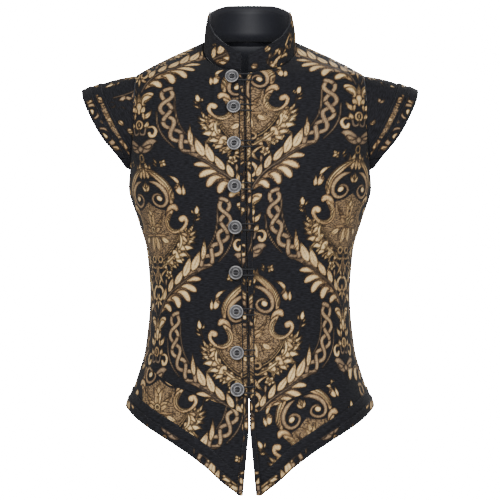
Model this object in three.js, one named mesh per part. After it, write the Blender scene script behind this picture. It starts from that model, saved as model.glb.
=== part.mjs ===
// A brocade vest with a standing collar and cap sleeves, worn shape, in millimetres.
// +Z is up, the front faces -Y, and the origin is where the shoulders carry it:
// x = 0 on the centre plane, z = 0 where the shoulder seams meet the neck.
import * as THREE from "three";

// Cloth
const clothWall = 2;
const liningWall = 1;
const bandWall = 1.2;
const layerGap = 0.4;
const seamHalfGap = 0.2;
const liningGap = 3.2;
const liningReach = 0.7;

// Closure line at the centre front, and the slit below the last button
const closureTop = { z: -54, x: -8.5 };
const closureFoot = { z: -600, x: -0.8 };
const closureHalfGap = 0.4;
const neckGap = { startsAt: -78, halfWidth: 6 };
const slit = { startsAt: -588, endsAt: -690, halfWidth: 9.5 };
const edgeStripWidth = 9;

// Shoulder, armhole and hem
const shoulderTipZ = -54;
const armhole = { middleZ: -140, halfHeight: 86, frontReach: 52, backReach: 60 };
const sideHipSeamZ = -492;
const backHemZ = -563;
const backNeckZ = 8;
const hemTrim = { guard: 27, band: 14 };
const sleeveTrim = { guard: 32, band: 16, rowWidth: 8, firstTurn: 0.05, gap: 0.7 };
const sleeveLift = 4;

// Buttons and loops
const button = { radius: 10.8, thickness: 3.2, rimWidth: 2.6, rimHeight: 1, standOff: 4.6 };
const shankRadius = 2.4;
const buttonFromClosure = 16.5;
const buttonHeights = [-63, -110, -165, -228, -289, -357, -417, -479, -534];
const loop = { cordRadius: 1.15, rootSpread: 4.6, rootInset: 10.5, clearance: 0.8 };

// Horizontal sections of the body: half width, depth in front and behind, and how square
const sections = [
  { z: -704, halfWidth: 216, front: 142, back: 150, square: 0.12 },
  { z: -610, halfWidth: 202, front: 143, back: 149, square: 0.13 },
  { z: -561, halfWidth: 189, front: 140, back: 143, square: 0.14 },
  { z: -524, halfWidth: 176, front: 134, back: 136, square: 0.15 },
  { z: -474, halfWidth: 162, front: 126, back: 124, square: 0.16 },
  { z: -394, halfWidth: 155, front: 121, back: 112, square: 0.17 },
  { z: -325, halfWidth: 160, front: 129, back: 115, square: 0.18 },
  { z: -276, halfWidth: 174, front: 136, back: 121, square: 0.18 },
  { z: -226, halfWidth: 188, front: 139, back: 126, square: 0.18 },
  { z: -160, halfWidth: 188, front: 128, back: 124, square: 0.18 },
  { z: -100, halfWidth: 187, front: 107, back: 117, square: 0.16 },
  { z: -72, halfWidth: 184, front: 94, back: 109, square: 0.13 },
  { z: -56, halfWidth: 178, front: 87, back: 104, square: 0.1 },
  { z: -44, halfWidth: 160, front: 74, back: 99, square: 0.07 },
  { z: -26, halfWidth: 125, front: 50, back: 88, square: 0.04 },
  { z: -11, halfWidth: 92, front: 31, back: 74, square: 0.02 },
  { z: 0, halfWidth: 68, front: 14, back: 62, square: 0 },
  { z: 8, halfWidth: 52, front: 6, back: 57, square: 0 },
];

// Lines drawn on the front, by the angle round the body from the centre front
const neckline = [
  { angle: 0, z: -54 },
  { angle: 12, z: -47.5 },
  { angle: 32, z: -26 },
  { angle: 49, z: -11.5 },
  { angle: 70, z: -3 },
  { angle: 90, z: 0 },
];
const hipSeam = [
  { angle: 0, z: -571 },
  { angle: 12, z: -554 },
  { angle: 24, z: -539 },
  { angle: 36, z: -529 },
  { angle: 52, z: -511 },
  { angle: 70, z: -500 },
  { angle: 90, z: sideHipSeamZ },
];
const frontHem = [
  { angle: 0, z: -687 },
  { angle: 3.4, z: -692 },
  { angle: 6, z: -685 },
  { angle: 10, z: -673 },
  { angle: 17, z: -649 },
  { angle: 26.5, z: -625 },
  { angle: 39, z: -603 },
  { angle: 57.5, z: -581 },
  { angle: 71.5, z: -570 },
  { angle: 90, z: backHemZ },
];

// Free edge of the cap sleeve, from its front end over the shoulder to its back end
const sleeveEdge = [
  { turn: 0, x: 189, y: -46, z: -197 },
  { turn: 0.07, x: 206, y: -54, z: -177 },
  { turn: 0.148, x: 226, y: -58, z: -153 },
  { turn: 0.266, x: 244, y: -52, z: -122 },
  { turn: 0.383, x: 256, y: -32, z: -95 },
  { turn: 0.5, x: 260, y: 4, z: -79 },
  { turn: 0.617, x: 256, y: 38, z: -95 },
  { turn: 0.734, x: 243, y: 58, z: -122 },
  { turn: 0.852, x: 225, y: 66, z: -153 },
  { turn: 0.93, x: 206, y: 62, z: -177 },
  { turn: 1, x: 189, y: 52, z: -197 },
];
const sleeveLowAngle = -45;

// Standing collar: height and inward lean by the share of the way from front to back
const collarShape = [
  { along: 0, height: 27, lean: 1 },
  { along: 0.13, height: 41, lean: 3 },
  { along: 0.27, height: 51, lean: 5 },
  { along: 0.4, height: 47, lean: 7 },
  { along: 0.5, height: 45, lean: 7 },
  { along: 0.62, height: 48.5, lean: 6 },
  { along: 0.78, height: 52, lean: 5 },
  { along: 1, height: 52, lean: 3 },
];

// How finely each piece is divided
const steps = { neck: 6, shoulder: 6, side: 9, armhole: 12, skirt: 6, collarRise: 3 };
const sleeveSteps = { round: 18, out: 4 };
const hemSteps = { front: 28, back: 12 };
const buttonSegments = 16;
const loopSteps = 14;
const frontAcross = steps.neck + steps.shoulder;

const rad = THREE.MathUtils.degToRad;
const lerp = THREE.MathUtils.lerp;
const clamp = THREE.MathUtils.clamp;

// Smooth value of a table's column at a key, through every row and level past the ends
function read(table, key, at, column) {
  const order = table[0][key] < table[table.length - 1][key] ? table : [...table].reverse();
  if (at <= order[0][key]) return order[0][column];
  const last = order.length - 1;
  if (at >= order[last][key]) return order[last][column];
  const i = order.findIndex((row) => row[key] > at) - 1;
  const slope = (a, b) => (order[b][column] - order[a][column]) / (order[b][key] - order[a][key]);
  const span = order[i + 1][key] - order[i][key];
  const here = slope(i, i + 1);
  const soften = (a, b) => (a * b <= 0 ? 0 : (2 * a * b) / (a + b));
  const start = i > 0 ? soften(slope(i - 1, i), here) : here;
  const end = i < last - 1 ? soften(here, slope(i + 1, i + 2)) : here;
  const t = (at - order[i][key]) / span;
  const rise = order[i + 1][column] - order[i][column];
  const bend = start * span - rise;
  const turn = rise - end * span;
  return order[i][column] + t * rise + t * (1 - t) * ((1 - t) * bend + t * turn);
}

// A point of the body's surface, by the angle from the centre front and the height
function body(angle, z) {
  const width = read(sections, "z", z, "halfWidth");
  const square = read(sections, "z", z, "square");
  const across = Math.sin(rad(angle));
  const along = Math.cos(rad(angle));
  const depth = read(sections, "z", z, along > 0 ? "front" : "back");
  return new THREE.Vector3(
    width * across * (1 + square * along * along),
    -depth * along * (1 + square * across * across),
    z,
  );
}

function bodyNormal(angle, z) {
  const turn = 0.5;
  const rise = 1;
  const across = body(angle + turn, z).sub(body(angle - turn, z));
  const up = body(angle, z + rise).sub(body(angle, z - rise));
  return across.cross(up).normalize();
}

// Angle at which the body's surface is a given distance from the centre plane
function angleAcross(x, z) {
  const width = read(sections, "z", z, "halfWidth");
  const square = read(sections, "z", z, "square");
  return THREE.MathUtils.radToDeg(Math.asin(clamp(x / (width * (1 + square)), -1, 1)));
}

// Angle at which the body's surface is a given depth in front of (or behind) the side
function angleDeep(y, z) {
  const depth = read(sections, "z", z, y < 0 ? "front" : "back");
  const square = read(sections, "z", z, "square");
  let along = Math.abs(y) / depth;
  for (let pass = 0; pass < 8; pass += 1) {
    along = Math.abs(y) / (depth * (1 + square * (1 - along * along)));
  }
  const angle = THREE.MathUtils.radToDeg(Math.acos(clamp(along, 0, 1)));
  return y < 0 ? angle : 180 - angle;
}

// Distance of a front's edge from the centre plane; side is 1 for +X and -1 for -X
function closureEdge(side, z) {
  const t = clamp((closureTop.z - z) / (closureTop.z - closureFoot.z), 0, 1);
  const middle = lerp(closureTop.x, closureFoot.x, t);
  const open = clamp((slit.startsAt - z) / (slit.startsAt - slit.endsAt), 0, 1) * slit.halfWidth;
  const rise = clamp((z - neckGap.startsAt) / (closureTop.z - neckGap.startsAt), 0, 1);
  return side * middle + Math.max(closureHalfGap, open, rise * rise * neckGap.halfWidth);
}

// The panel's four edges as angle and height, each from its first corner to its last
function blend(edges, u, v) {
  const mix = (a, b, t) => [lerp(a[0], b[0], t), lerp(a[1], b[1], t)];
  const ruledUp = mix(edges.low(u), edges.top(u), v);
  const ruledAcross = mix(edges.inner(v), edges.outer(v), u);
  const corners = mix(
    mix(edges.low(0), edges.low(1), u),
    mix(edges.top(0), edges.top(1), u),
    v,
  );
  return [0, 1].map((i) => ruledUp[i] + ruledAcross[i] - corners[i]);
}

// Two rows of points, one for each face of a wall, at every step of a panel
function panelFaces(edges, across, up, outerAt, innerAt, mirror = 1) {
  const faces = [[], []];
  for (let j = 0; j <= up; j += 1) {
    const rows = [[], []];
    for (let i = 0; i <= across; i += 1) {
      const [angle, z] = blend(edges, i / across, j / up);
      const point = body(angle, z);
      const normal = bodyNormal(angle, z);
      [outerAt, innerAt].forEach((at, face) => {
        const moved = point.clone().addScaledVector(normal, at);
        moved.x *= mirror;
        rows[face].push(moved);
      });
    }
    faces[0].push(rows[0]);
    faces[1].push(rows[1]);
  }
  return faces;
}

// A closed wall between two grids of points
function wall([outer, inner]) {
  const across = outer[0].length;
  const up = outer.length;
  const points = [...outer.flat(), ...inner.flat()];
  const at = (face, j, i) => face * across * up + j * across + i;
  const faces = [];
  const quad = (a, b, c, d) => faces.push(a, b, c, a, c, d);
  for (let j = 0; j < up - 1; j += 1) {
    for (let i = 0; i < across - 1; i += 1) {
      quad(at(0, j, i), at(0, j, i + 1), at(0, j + 1, i + 1), at(0, j + 1, i));
      quad(at(1, j, i), at(1, j + 1, i), at(1, j + 1, i + 1), at(1, j, i + 1));
    }
  }
  for (let i = 0; i < across - 1; i += 1) {
    quad(at(0, 0, i), at(1, 0, i), at(1, 0, i + 1), at(0, 0, i + 1));
    quad(at(0, up - 1, i), at(0, up - 1, i + 1), at(1, up - 1, i + 1), at(1, up - 1, i));
  }
  for (let j = 0; j < up - 1; j += 1) {
    quad(at(0, j, 0), at(0, j + 1, 0), at(1, j + 1, 0), at(1, j, 0));
    quad(at(0, j, across - 1), at(1, j, across - 1), at(1, j + 1, across - 1), at(0, j + 1, across - 1));
  }
  return facingOut(points, faces);
}

function facingOut(points, faces) {
  let volume = 0;
  for (let k = 0; k < faces.length; k += 3) {
    const [a, b, c] = [points[faces[k]], points[faces[k + 1]], points[faces[k + 2]]];
    volume += a.dot(b.clone().cross(c));
  }
  if (volume < 0) faces.reverse();
  const geometry = new THREE.BufferGeometry();
  geometry.setAttribute(
    "position",
    new THREE.Float32BufferAttribute(points.flatMap((p) => [p.x, p.y, p.z]), 3),
  );
  geometry.setIndex(faces);
  return geometry;
}

// Edges of the pieces, in angle and height on the +X side
const gapAngle = (z) => THREE.MathUtils.radToDeg(seamHalfGap / read(sections, "z", z, "front"));
const sideSeam = (front, z) => [front ? 90 - gapAngle(z) : 90 + gapAngle(z), z];
const hipGap = seamHalfGap * 1.2;

function armholePoint(front, climb) {
  const z = armhole.middleZ + armhole.halfHeight * Math.sin(rad(climb));
  const reach = (front ? -armhole.frontReach : armhole.backReach) * Math.cos(rad(climb));
  const y = front ? Math.min(reach, -seamHalfGap) : Math.max(reach, seamHalfGap);
  return [angleDeep(y, z), z];
}

function outerEdge(front, lowZ) {
  const sideShare = steps.side / (steps.side + steps.armhole);
  const underarmZ = armhole.middleZ - armhole.halfHeight;
  return (v) =>
    v <= sideShare
      ? sideSeam(front, lerp(lowZ, underarmZ, v / sideShare))
      : armholePoint(front, lerp(-90, 90, (v - sideShare) / (1 - sideShare)));
}

// The neckline runs out to the shoulder seam, which falls to the tip
function topEdge(front, firstAngle) {
  const neckShare = steps.neck / (steps.neck + steps.shoulder);
  return (u) => {
    if (u >= neckShare) return sideSeam(front, lerp(0, shoulderTipZ, (u - neckShare) / (1 - neckShare)));
    const t = u / neckShare;
    if (!front) return [lerp(180, 90 + gapAngle(0), t), lerp(backNeckZ, 0, t * t)];
    const angle = lerp(firstAngle, 90 - gapAngle(0), t ** 1.35);
    return [angle, read(neckline, "angle", angle, "z")];
  };
}

const closureAngle = (side, z) => angleAcross(closureEdge(side, z), z);
const frontTopAngle = (side) => closureAngle(side, neckline[0].z);
const hemSide = (z) => 90 - gapAngle(z);

function frontEdges(side) {
  const lowZ = hipSeam[0].z + hipGap;
  return {
    low: (u) => {
      const angle = lerp(closureAngle(side, lowZ), hemSide(sideHipSeamZ), u);
      return [angle, read(hipSeam, "angle", angle, "z") + hipGap];
    },
    top: topEdge(true, frontTopAngle(side)),
    inner: (v) => {
      const z = lerp(lowZ, neckline[0].z, v);
      return [closureAngle(side, z), z];
    },
    outer: outerEdge(true, sideHipSeamZ + hipGap),
  };
}

function skirtEdges(side) {
  const topZ = hipSeam[0].z - hipGap;
  const lowAngle = closureAngle(side, slit.endsAt);
  return {
    low: (u) => {
      const angle = lerp(lowAngle, hemSide(backHemZ), u ** 1.25);
      return [angle, read(frontHem, "angle", angle, "z")];
    },
    top: (u) => {
      const angle = lerp(closureAngle(side, topZ), hemSide(sideHipSeamZ), u);
      return [angle, read(hipSeam, "angle", angle, "z") - hipGap];
    },
    inner: (v) => {
      const z = lerp(read(frontHem, "angle", lowAngle, "z"), topZ, v);
      return [closureAngle(side, z), z];
    },
    outer: (v) => sideSeam(true, lerp(backHemZ, sideHipSeamZ - hipGap, v)),
  };
}

function backEdges(lowZ) {
  return {
    low: (u) => [lerp(180, 90 + gapAngle(lowZ), u), lowZ],
    top: topEdge(false),
    inner: (v) => [180, lerp(lowZ, backNeckZ, v)],
    outer: outerEdge(false, lowZ),
  };
}

// Joins a half panel and its mirror image at the centre back
function wholeBack(half) {
  return half.map((rows) =>
    rows.map((row) => {
      const left = row.slice(1).reverse().map((p) => new THREE.Vector3(-p.x, p.y, p.z));
      return [...left, ...row];
    }),
  );
}

const frontPanel = (side) =>
  panelFaces(frontEdges(side), frontAcross, steps.side + steps.armhole, 0, -clothWall, side);
const skirtPanel = (side) => panelFaces(skirtEdges(side), frontAcross, steps.skirt, 0, -clothWall, side);
const backPanel = () =>
  wholeBack(panelFaces(backEdges(backHemZ), frontAcross, steps.side + steps.armhole + 1, 0, -clothWall));

// Lining inside the back, on every second of the panel's points, short of hem and neck
function backLining() {
  const outerAt = -clothWall - liningGap;
  const rows = steps.side + steps.armhole + 1;
  const half = panelFaces(backEdges(backHemZ), frontAcross, rows, outerAt, outerAt - liningWall);
  const coarse = half.map((face) => {
    const kept = face.map((row) => row.filter((point, i) => i % 2 === 0));
    const top = kept[rows].map((point, i) => kept[rows - 1][i].clone().lerp(point, liningReach));
    return [...kept.slice(0, rows).filter((row, j) => j % 2 === 1), top];
  });
  return wholeBack(coarse);
}

// Narrow strip that lies along a front's edge from the neck to the point
function edgeStrip(side) {
  const topZ = neckline[0].z - 1.5;
  const lowZ = frontHem[1].z + 4;
  const rows = 30;
  const faces = [[], []];
  for (let j = 0; j <= rows; j += 1) {
    const z = lerp(lowZ, topZ, j / rows);
    const pair = [[], []];
    for (const across of [0.2, edgeStripWidth]) {
      const angle = angleAcross(closureEdge(side, z) + across, z);
      [layerGap + bandWall, layerGap].forEach((at, face) => {
        const point = body(angle, z).addScaledVector(bodyNormal(angle, z), at);
        point.x *= side;
        pair[face].push(point);
      });
    }
    faces[0].push(pair[0]);
    faces[1].push(pair[1]);
  }
  return faces;
}

// Height of a line that runs parallel to the front hem, at a distance measured across it
function aboveHem(angle, distance) {
  const z = read(frontHem, "angle", angle, "z");
  const [from, to] = [Math.max(angle - 2, 7), Math.min(angle + 2, 90)];
  const rise = read(frontHem, "angle", to, "z") - read(frontHem, "angle", from, "z");
  const run = body(to, z).distanceTo(body(from, z));
  return z + distance * Math.hypot(1, rise / run);
}

function frontHemTrim(side, width, layer) {
  const stripEdge = (z) => angleAcross(closureEdge(side, z) + edgeStripWidth + 0.6, z);
  const at = layerGap + layer * (bandWall + layerGap);
  const foot = 0.6;
  const line = (distance) => (u) => {
    let angle = lerp(6, hemSide(backHemZ), u ** 1.15);
    if (u === 0) {
      for (let pass = 0; pass < 6; pass += 1) angle = stripEdge(aboveHem(angle, distance));
    }
    return [angle, aboveHem(angle, distance)];
  };
  const low = line(foot);
  const top = line(width);
  const end = (u) => (v) => [lerp(low(u)[0], top(u)[0], v), lerp(low(u)[1], top(u)[1], v)];
  const edges = { low, top, inner: end(0), outer: end(1) };
  return panelFaces(edges, hemSteps.front, 2 - layer, at + bandWall, at, side);
}

function backHemTrim(width, layer) {
  const at = layerGap + layer * (bandWall + layerGap);
  const edges = {
    low: (u) => [lerp(180, 90 + gapAngle(backHemZ), u), backHemZ + 0.6],
    top: (u) => [lerp(180, 90 + gapAngle(backHemZ), u), backHemZ + width],
    inner: (v) => [180, lerp(backHemZ + 0.6, backHemZ + width, v)],
    outer: (v) => [90 + gapAngle(backHemZ), lerp(backHemZ + 0.6, backHemZ + width, v)],
  };
  return wholeBack(panelFaces(edges, hemSteps.back, 1, at + bandWall, at));
}

// A point of the cap sleeve: turn runs over the shoulder, out runs from armhole to edge
function sleevePoint(turn, out) {
  const climb = lerp(sleeveLowAngle, 90, 1 - Math.abs(1 - 2 * turn));
  const root = body(...armholePoint(turn < 0.5, climb));
  const edge = new THREE.Vector3(...["x", "y", "z"].map((column) => read(sleeveEdge, "turn", turn, column)));
  const seam = edge.clone().sub(root).setLength(seamHalfGap * 3);
  root.add(seam);
  const lift = sleeveLift * Math.sin(Math.PI * out) * Math.sin(Math.PI * turn);
  return root.lerp(edge, out).add(new THREE.Vector3(0, 0, lift));
}

function sleeveNormal(turn, out) {
  const step = 0.01;
  const [t0, t1] = [Math.max(turn - step, 0), Math.min(turn + step, 1)];
  const [o0, o1] = [Math.max(out - step, 0), Math.min(out + step, 1)];
  const round = sleevePoint(t1, out).sub(sleevePoint(t0, out));
  const outward = sleevePoint(turn, o1).sub(sleevePoint(turn, o0));
  return outward.cross(round).normalize();
}

function sleeveFaces(side, firstTurn, outFrom, outerAt, innerAt, outSteps) {
  const faces = [[], []];
  for (let i = 0; i <= sleeveSteps.round; i += 1) {
    const turn = lerp(firstTurn, 1 - firstTurn, i / sleeveSteps.round);
    const pair = [[], []];
    for (let k = 0; k <= outSteps; k += 1) {
      const out = lerp(outFrom(turn), 1, k / outSteps);
      const normal = sleeveNormal(turn, out);
      [outerAt, innerAt].forEach((at, face) => {
        const point = sleevePoint(turn, out).addScaledVector(normal, at);
        point.x *= side;
        pair[face].push(point);
      });
    }
    faces[0].push(pair[0]);
    faces[1].push(pair[1]);
  }
  return faces;
}

// The guard and the band narrow together where the sleeve does
function sleeveTrimFaces(side, width, layer) {
  const at = sleeveTrim.gap + layer * (bandWall + layerGap);
  const from = (turn) => {
    const whole = sleevePoint(turn, 0).distanceTo(sleevePoint(turn, 1));
    const share = Math.min(1, (whole - 2.5) / sleeveTrim.guard);
    return 1 - (width * share) / whole;
  };
  const rows = Math.round(width / sleeveTrim.rowWidth);
  return sleeveFaces(side, sleeveTrim.firstTurn, from, at + bandWall, at, rows);
}

// A point of the neckline, which the panels' top edges share with the collar
function neckPoint(side, along) {
  const neckShare = steps.neck / (steps.neck + steps.shoulder);
  const front = along <= 0.5;
  const edge = topEdge(front, frontTopAngle(side));
  const point = body(...edge((front ? along * 2 : 2 - along * 2) * neckShare * 0.9999));
  point.x *= side;
  return point;
}

function collarFaces(outerAt, innerAt, trimTop) {
  const places = [];
  const half = steps.neck * 2;
  for (let i = -half; i <= half; i += 1) {
    places.push({ side: i < 0 ? -1 : 1, along: 1 - Math.abs(i) / half });
  }
  const bases = places.map(({ side, along }) => neckPoint(side, along));
  const faces = [[], []];
  for (let j = 0; j <= steps.collarRise; j += 1) {
    const pair = [[], []];
    const rise = j / steps.collarRise;
    places.forEach(({ along }, i) => {
      const before = bases[Math.max(i - 1, 0)];
      const after = bases[Math.min(i + 1, bases.length - 1)];
      const tangent = after.clone().sub(before);
      const outward = new THREE.Vector3(-tangent.y, tangent.x, 0).normalize();
      if (outward.dot(new THREE.Vector3(bases[i].x, bases[i].y + 12, 0)) < 0) outward.negate();
      const height = read(collarShape, "along", along, "height") - trimTop;
      const lean = read(collarShape, "along", along, "lean");
      const middle = bases[i].clone();
      middle.z += seamHalfGap * 3 + rise * height;
      middle.addScaledVector(outward, -lean * rise * rise);
      pair[0].push(middle.clone().addScaledVector(outward, outerAt));
      pair[1].push(middle.clone().addScaledVector(outward, innerAt));
    });
    faces[0].push(pair[0]);
    faces[1].push(pair[1]);
  }
  return faces;
}

// A raised-rim button on its thread shank, turned about the normal of the front
function buttonShape(z) {
  const { radius, thickness, rimWidth, rimHeight, standOff } = button;
  const back = standOff;
  const front = standOff + thickness;
  const dish = front - rimHeight;
  const profile = [
    [0, layerGap],
    [shankRadius, layerGap],
    [shankRadius, back],
    [radius - 0.8, back],
    [radius, back + 1],
    [radius - 0.4, front - 0.5],
    [radius - rimWidth / 2, front],
    [radius - rimWidth, dish],
    [0, dish - 0.3],
  ].map(([r, h]) => new THREE.Vector2(r, h));
  const geometry = new THREE.LatheGeometry(profile, buttonSegments);
  const angle = angleAcross(closureEdge(-1, z) + buttonFromClosure, z);
  return placeOnFront(geometry, -1, angle, z);
}

// Turns +Y to the front's outward normal and moves the shape to that place
function placeOnFront(geometry, side, angle, z) {
  const point = body(angle, z);
  const normal = bodyNormal(angle, z);
  point.x *= side;
  normal.x *= side;
  geometry.applyQuaternion(new THREE.Quaternion().setFromUnitVectors(new THREE.Vector3(0, 1, 0), normal));
  geometry.translate(point.x, point.y, point.z);
  return geometry;
}

// Cord loop from the other front's edge round the button's shank
function loopShape(z) {
  const lift = layerGap + bandWall + layerGap + loop.cordRadius;
  const round = shankRadius + loop.cordRadius + loop.clearance;
  const shankX = closureEdge(-1, z) + buttonFromClosure;
  const rootX = closureEdge(1, z) + loop.rootInset;
  const plan = [];
  plan.push([rootX, loop.rootSpread], [rootX * 0.2 - shankX * 0.35, loop.rootSpread]);
  for (const turn of [70, 125, 180, 235, 290]) {
    plan.push([-shankX + round * Math.cos(rad(turn)), round * Math.sin(rad(turn))]);
  }
  plan.push([rootX * 0.2 - shankX * 0.35, -loop.rootSpread], [rootX, -loop.rootSpread]);
  const route = plan.map(([x, up]) => {
    const height = z + up;
    const angle = angleAcross(Math.abs(x), height);
    const point = body(angle, height).addScaledVector(bodyNormal(angle, height), lift);
    point.x = x < 0 ? -Math.abs(point.x) : Math.abs(point.x);
    return point;
  });
  const sides = 8;
  const section = new THREE.Shape();
  for (let k = 0; k < sides; k += 1) {
    const turn = (k / sides) * 2 * Math.PI;
    const at = [loop.cordRadius * Math.cos(turn), loop.cordRadius * Math.sin(turn)];
    if (k === 0) section.moveTo(...at);
    else section.lineTo(...at);
  }
  section.closePath();
  const path = new THREE.CatmullRomCurve3(route, false, "centripetal");
  return new THREE.ExtrudeGeometry(section, { steps: loopSteps, extrudePath: path, curveSegments: 1 });
}

const brocade = { color: 0x6b5636, roughness: 0.75, metalness: 0 };
const darkCloth = { color: 0x14151b, roughness: 0.85, metalness: 0 };
const pewter = { color: 0x8f8f93, roughness: 0.4, metalness: 0.9 };
const cord = { color: 0x101013, roughness: 0.8, metalness: 0 };

const vest = new THREE.Group();

function add(name, geometry, finish) {
  const mesh = new THREE.Mesh(geometry, new THREE.MeshStandardMaterial(finish));
  mesh.name = name;
  vest.add(mesh);
}

// The wearer's right is on -X
for (const [name, side] of [["right", -1], ["left", 1]]) {
  add(`front_${name}`, wall(frontPanel(side)), brocade);
  add(`skirt_${name}`, wall(skirtPanel(side)), brocade);
  add(`front_strip_${name}`, wall(edgeStrip(side)), brocade);
  add(`hem_guard_${name}`, wall(frontHemTrim(side, hemTrim.guard, 0)), darkCloth);
  add(`hem_band_${name}`, wall(frontHemTrim(side, hemTrim.band, 1)), brocade);
  add(`sleeve_${name}`, wall(sleeveFaces(side, 0, () => 0, 0, -clothWall, sleeveSteps.out)), brocade);
  add(`sleeve_guard_${name}`, wall(sleeveTrimFaces(side, sleeveTrim.guard, 0)), brocade);
  add(`sleeve_band_${name}`, wall(sleeveTrimFaces(side, sleeveTrim.band, 1)), brocade);
}
add("back", wall(backPanel()), brocade);
add("back_lining", wall(backLining()), darkCloth);
add("hem_guard_back", wall(backHemTrim(hemTrim.guard, 0)), darkCloth);
add("hem_band_back", wall(backHemTrim(hemTrim.band, 1)), brocade);
add("collar", wall(collarFaces(0, -clothWall, 0)), brocade);
const collarInside = -clothWall - layerGap;
add("collar_lining", wall(collarFaces(collarInside, collarInside - liningWall, 0.5)), darkCloth);
buttonHeights.forEach((z, i) => {
  add(`button_${i + 1}`, buttonShape(z), pewter);
  add(`loop_${i + 1}`, loopShape(z), cord);
});

export default vest;
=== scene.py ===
# Looks of the brocade vest. Shapes are worked out in millimetres and become metres in the meshes.
import math
import bpy
import numpy as np
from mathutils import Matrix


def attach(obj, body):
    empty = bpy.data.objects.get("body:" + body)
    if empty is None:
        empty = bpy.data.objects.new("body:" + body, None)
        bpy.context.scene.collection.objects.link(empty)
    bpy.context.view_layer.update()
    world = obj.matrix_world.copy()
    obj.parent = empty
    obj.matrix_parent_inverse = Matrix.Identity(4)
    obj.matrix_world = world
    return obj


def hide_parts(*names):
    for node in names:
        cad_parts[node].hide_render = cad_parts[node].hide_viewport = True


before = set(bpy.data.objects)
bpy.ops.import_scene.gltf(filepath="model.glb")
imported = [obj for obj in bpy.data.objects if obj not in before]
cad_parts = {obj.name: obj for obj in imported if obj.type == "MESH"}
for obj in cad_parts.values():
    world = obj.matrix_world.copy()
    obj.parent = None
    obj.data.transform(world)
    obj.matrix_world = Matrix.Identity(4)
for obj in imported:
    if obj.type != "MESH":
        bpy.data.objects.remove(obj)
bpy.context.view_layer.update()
print("frame loaded")

# The body's rows hold height, half width, depth in front, depth behind and squareness.
# The neckline, hip seam and hem hold degrees round from the centre front, and height.
vestCut = {
    "sections": [
        (-704, 216, 142, 150, 0.12), (-610, 202, 143, 149, 0.13), (-561, 189, 140, 143, 0.14),
        (-524, 176, 134, 136, 0.15), (-474, 162, 126, 124, 0.16), (-394, 155, 121, 112, 0.17),
        (-325, 160, 129, 115, 0.18), (-276, 174, 136, 121, 0.18), (-226, 188, 139, 126, 0.18),
        (-160, 188, 128, 124, 0.18), (-100, 187, 107, 117, 0.16), (-72, 184, 94, 109, 0.13),
        (-56, 178, 87, 104, 0.1), (-44, 160, 74, 99, 0.07), (-26, 125, 50, 88, 0.04),
        (-11, 92, 31, 74, 0.02), (0, 68, 14, 62, 0), (8, 52, 6, 57, 0),
    ],
    "neckline": [(0, -54), (12, -47.5), (32, -26), (49, -11.5), (70, -3), (90, 0)],
    "hipSeam": [(0, -571), (12, -554), (24, -539), (36, -529), (52, -511), (70, -500), (90, -492)],
    "frontHem": [
        (0, -687), (3.4, -692), (6, -685), (10, -673), (17, -649), (26.5, -625), (39, -603),
        (57.5, -581), (71.5, -570), (90, -563),
    ],
    "closureTop": (-54, -8.5), "closureFoot": (-600, -0.8), "closureHalfGap": 0.4,
    "neckGap": (-78, 6), "slit": (-588, -690, 9.5),
    "armhole": (-140, 86, 52, 60), "shoulderTip": -54, "backNeck": 8,
    "wall": 2.0, "layerGap": 0.4, "bandWall": 1.2, "seamGap": -0.03, "edgeStrip": 9.0,
    "liningGap": 3.2, "liningWall": 1.0, "liningReach": (1 / 22, 0.985), "rolledEdge": 1.6,
    # Share of an outer edge's height that is side seam, the rest being armhole
    "frontSeamShare": 9 / 21, "backSeamShare": 10 / 22,
}
sleeveCut = {
    # How far over the shoulder, then the free edge's x, y and z
    "edge": [
        (0, 189, -46, -197), (0.07, 206, -54, -177), (0.148, 226, -58, -153), (0.266, 244, -52, -122),
        (0.383, 256, -32, -95), (0.5, 260, 4, -79), (0.617, 256, 38, -95), (0.734, 243, 58, -122),
        (0.852, 225, 66, -153), (0.93, 206, 62, -177), (1, 189, 52, -197),
    ],
    "lowAngle": -45, "lift": 4, "guard": 32, "band": 16, "firstTurn": 0.05, "gap": 0.7, "seamGap": 0.05,
    "around": 330, "middle": (170.0, 0, -230.0),
    "guardRow": (-23.5, 3.4), "bandRow": (-8.5, 4.6),
    # Rounds in which the figure shows on the cloth: place round and up, width for height, radius
    "patches": {
        "right": [(30, -62, 1.5, 27), (84, -48, 1, 7), (100, -38, 1, 4), (70, -38, 1.2, 4),
                  (112, -46, 1, 4)],
        "left": [(8, -66, 1.4, 17), (38, -54, 1.2, 6), (50, -42, 1, 4), (66, -50, 1, 5), (84, -42, 1, 4),
                 (100, -48, 1, 4), (30, -40, 1.2, 4)],
    },
}
collarCut = {
    # Share of the way to the back, then height and inward lean
    "shape": [(0, 27, 1), (0.13, 41, 3), (0.27, 51, 5), (0.4, 47, 7), (0.5, 45, 7), (0.62, 48.5, 6),
              (0.78, 52, 5), (1, 52, 3)],
    "stitchBelowTop": 9, "middleY": 12.0,
}
# Each row of figures on a trim is given by its middle and its half width
hemCut = {"guard": 27, "band": 14, "figureRow": (7.0, 5.4), "foot": 0.6}
stripRow = (4.6, 2.9)
# The wearer's right is on -X. A tier of trim has its name, its layer and its rows of faces.
wearerSides = (("right", -1), ("left", 1))
trimTiers = (("guard", 0, 20), ("band", 1, 12))
neckFoot = vestCut["closureTop"][0]


def lerp(a, b, t):
    return a + (b - a) * t


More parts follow.
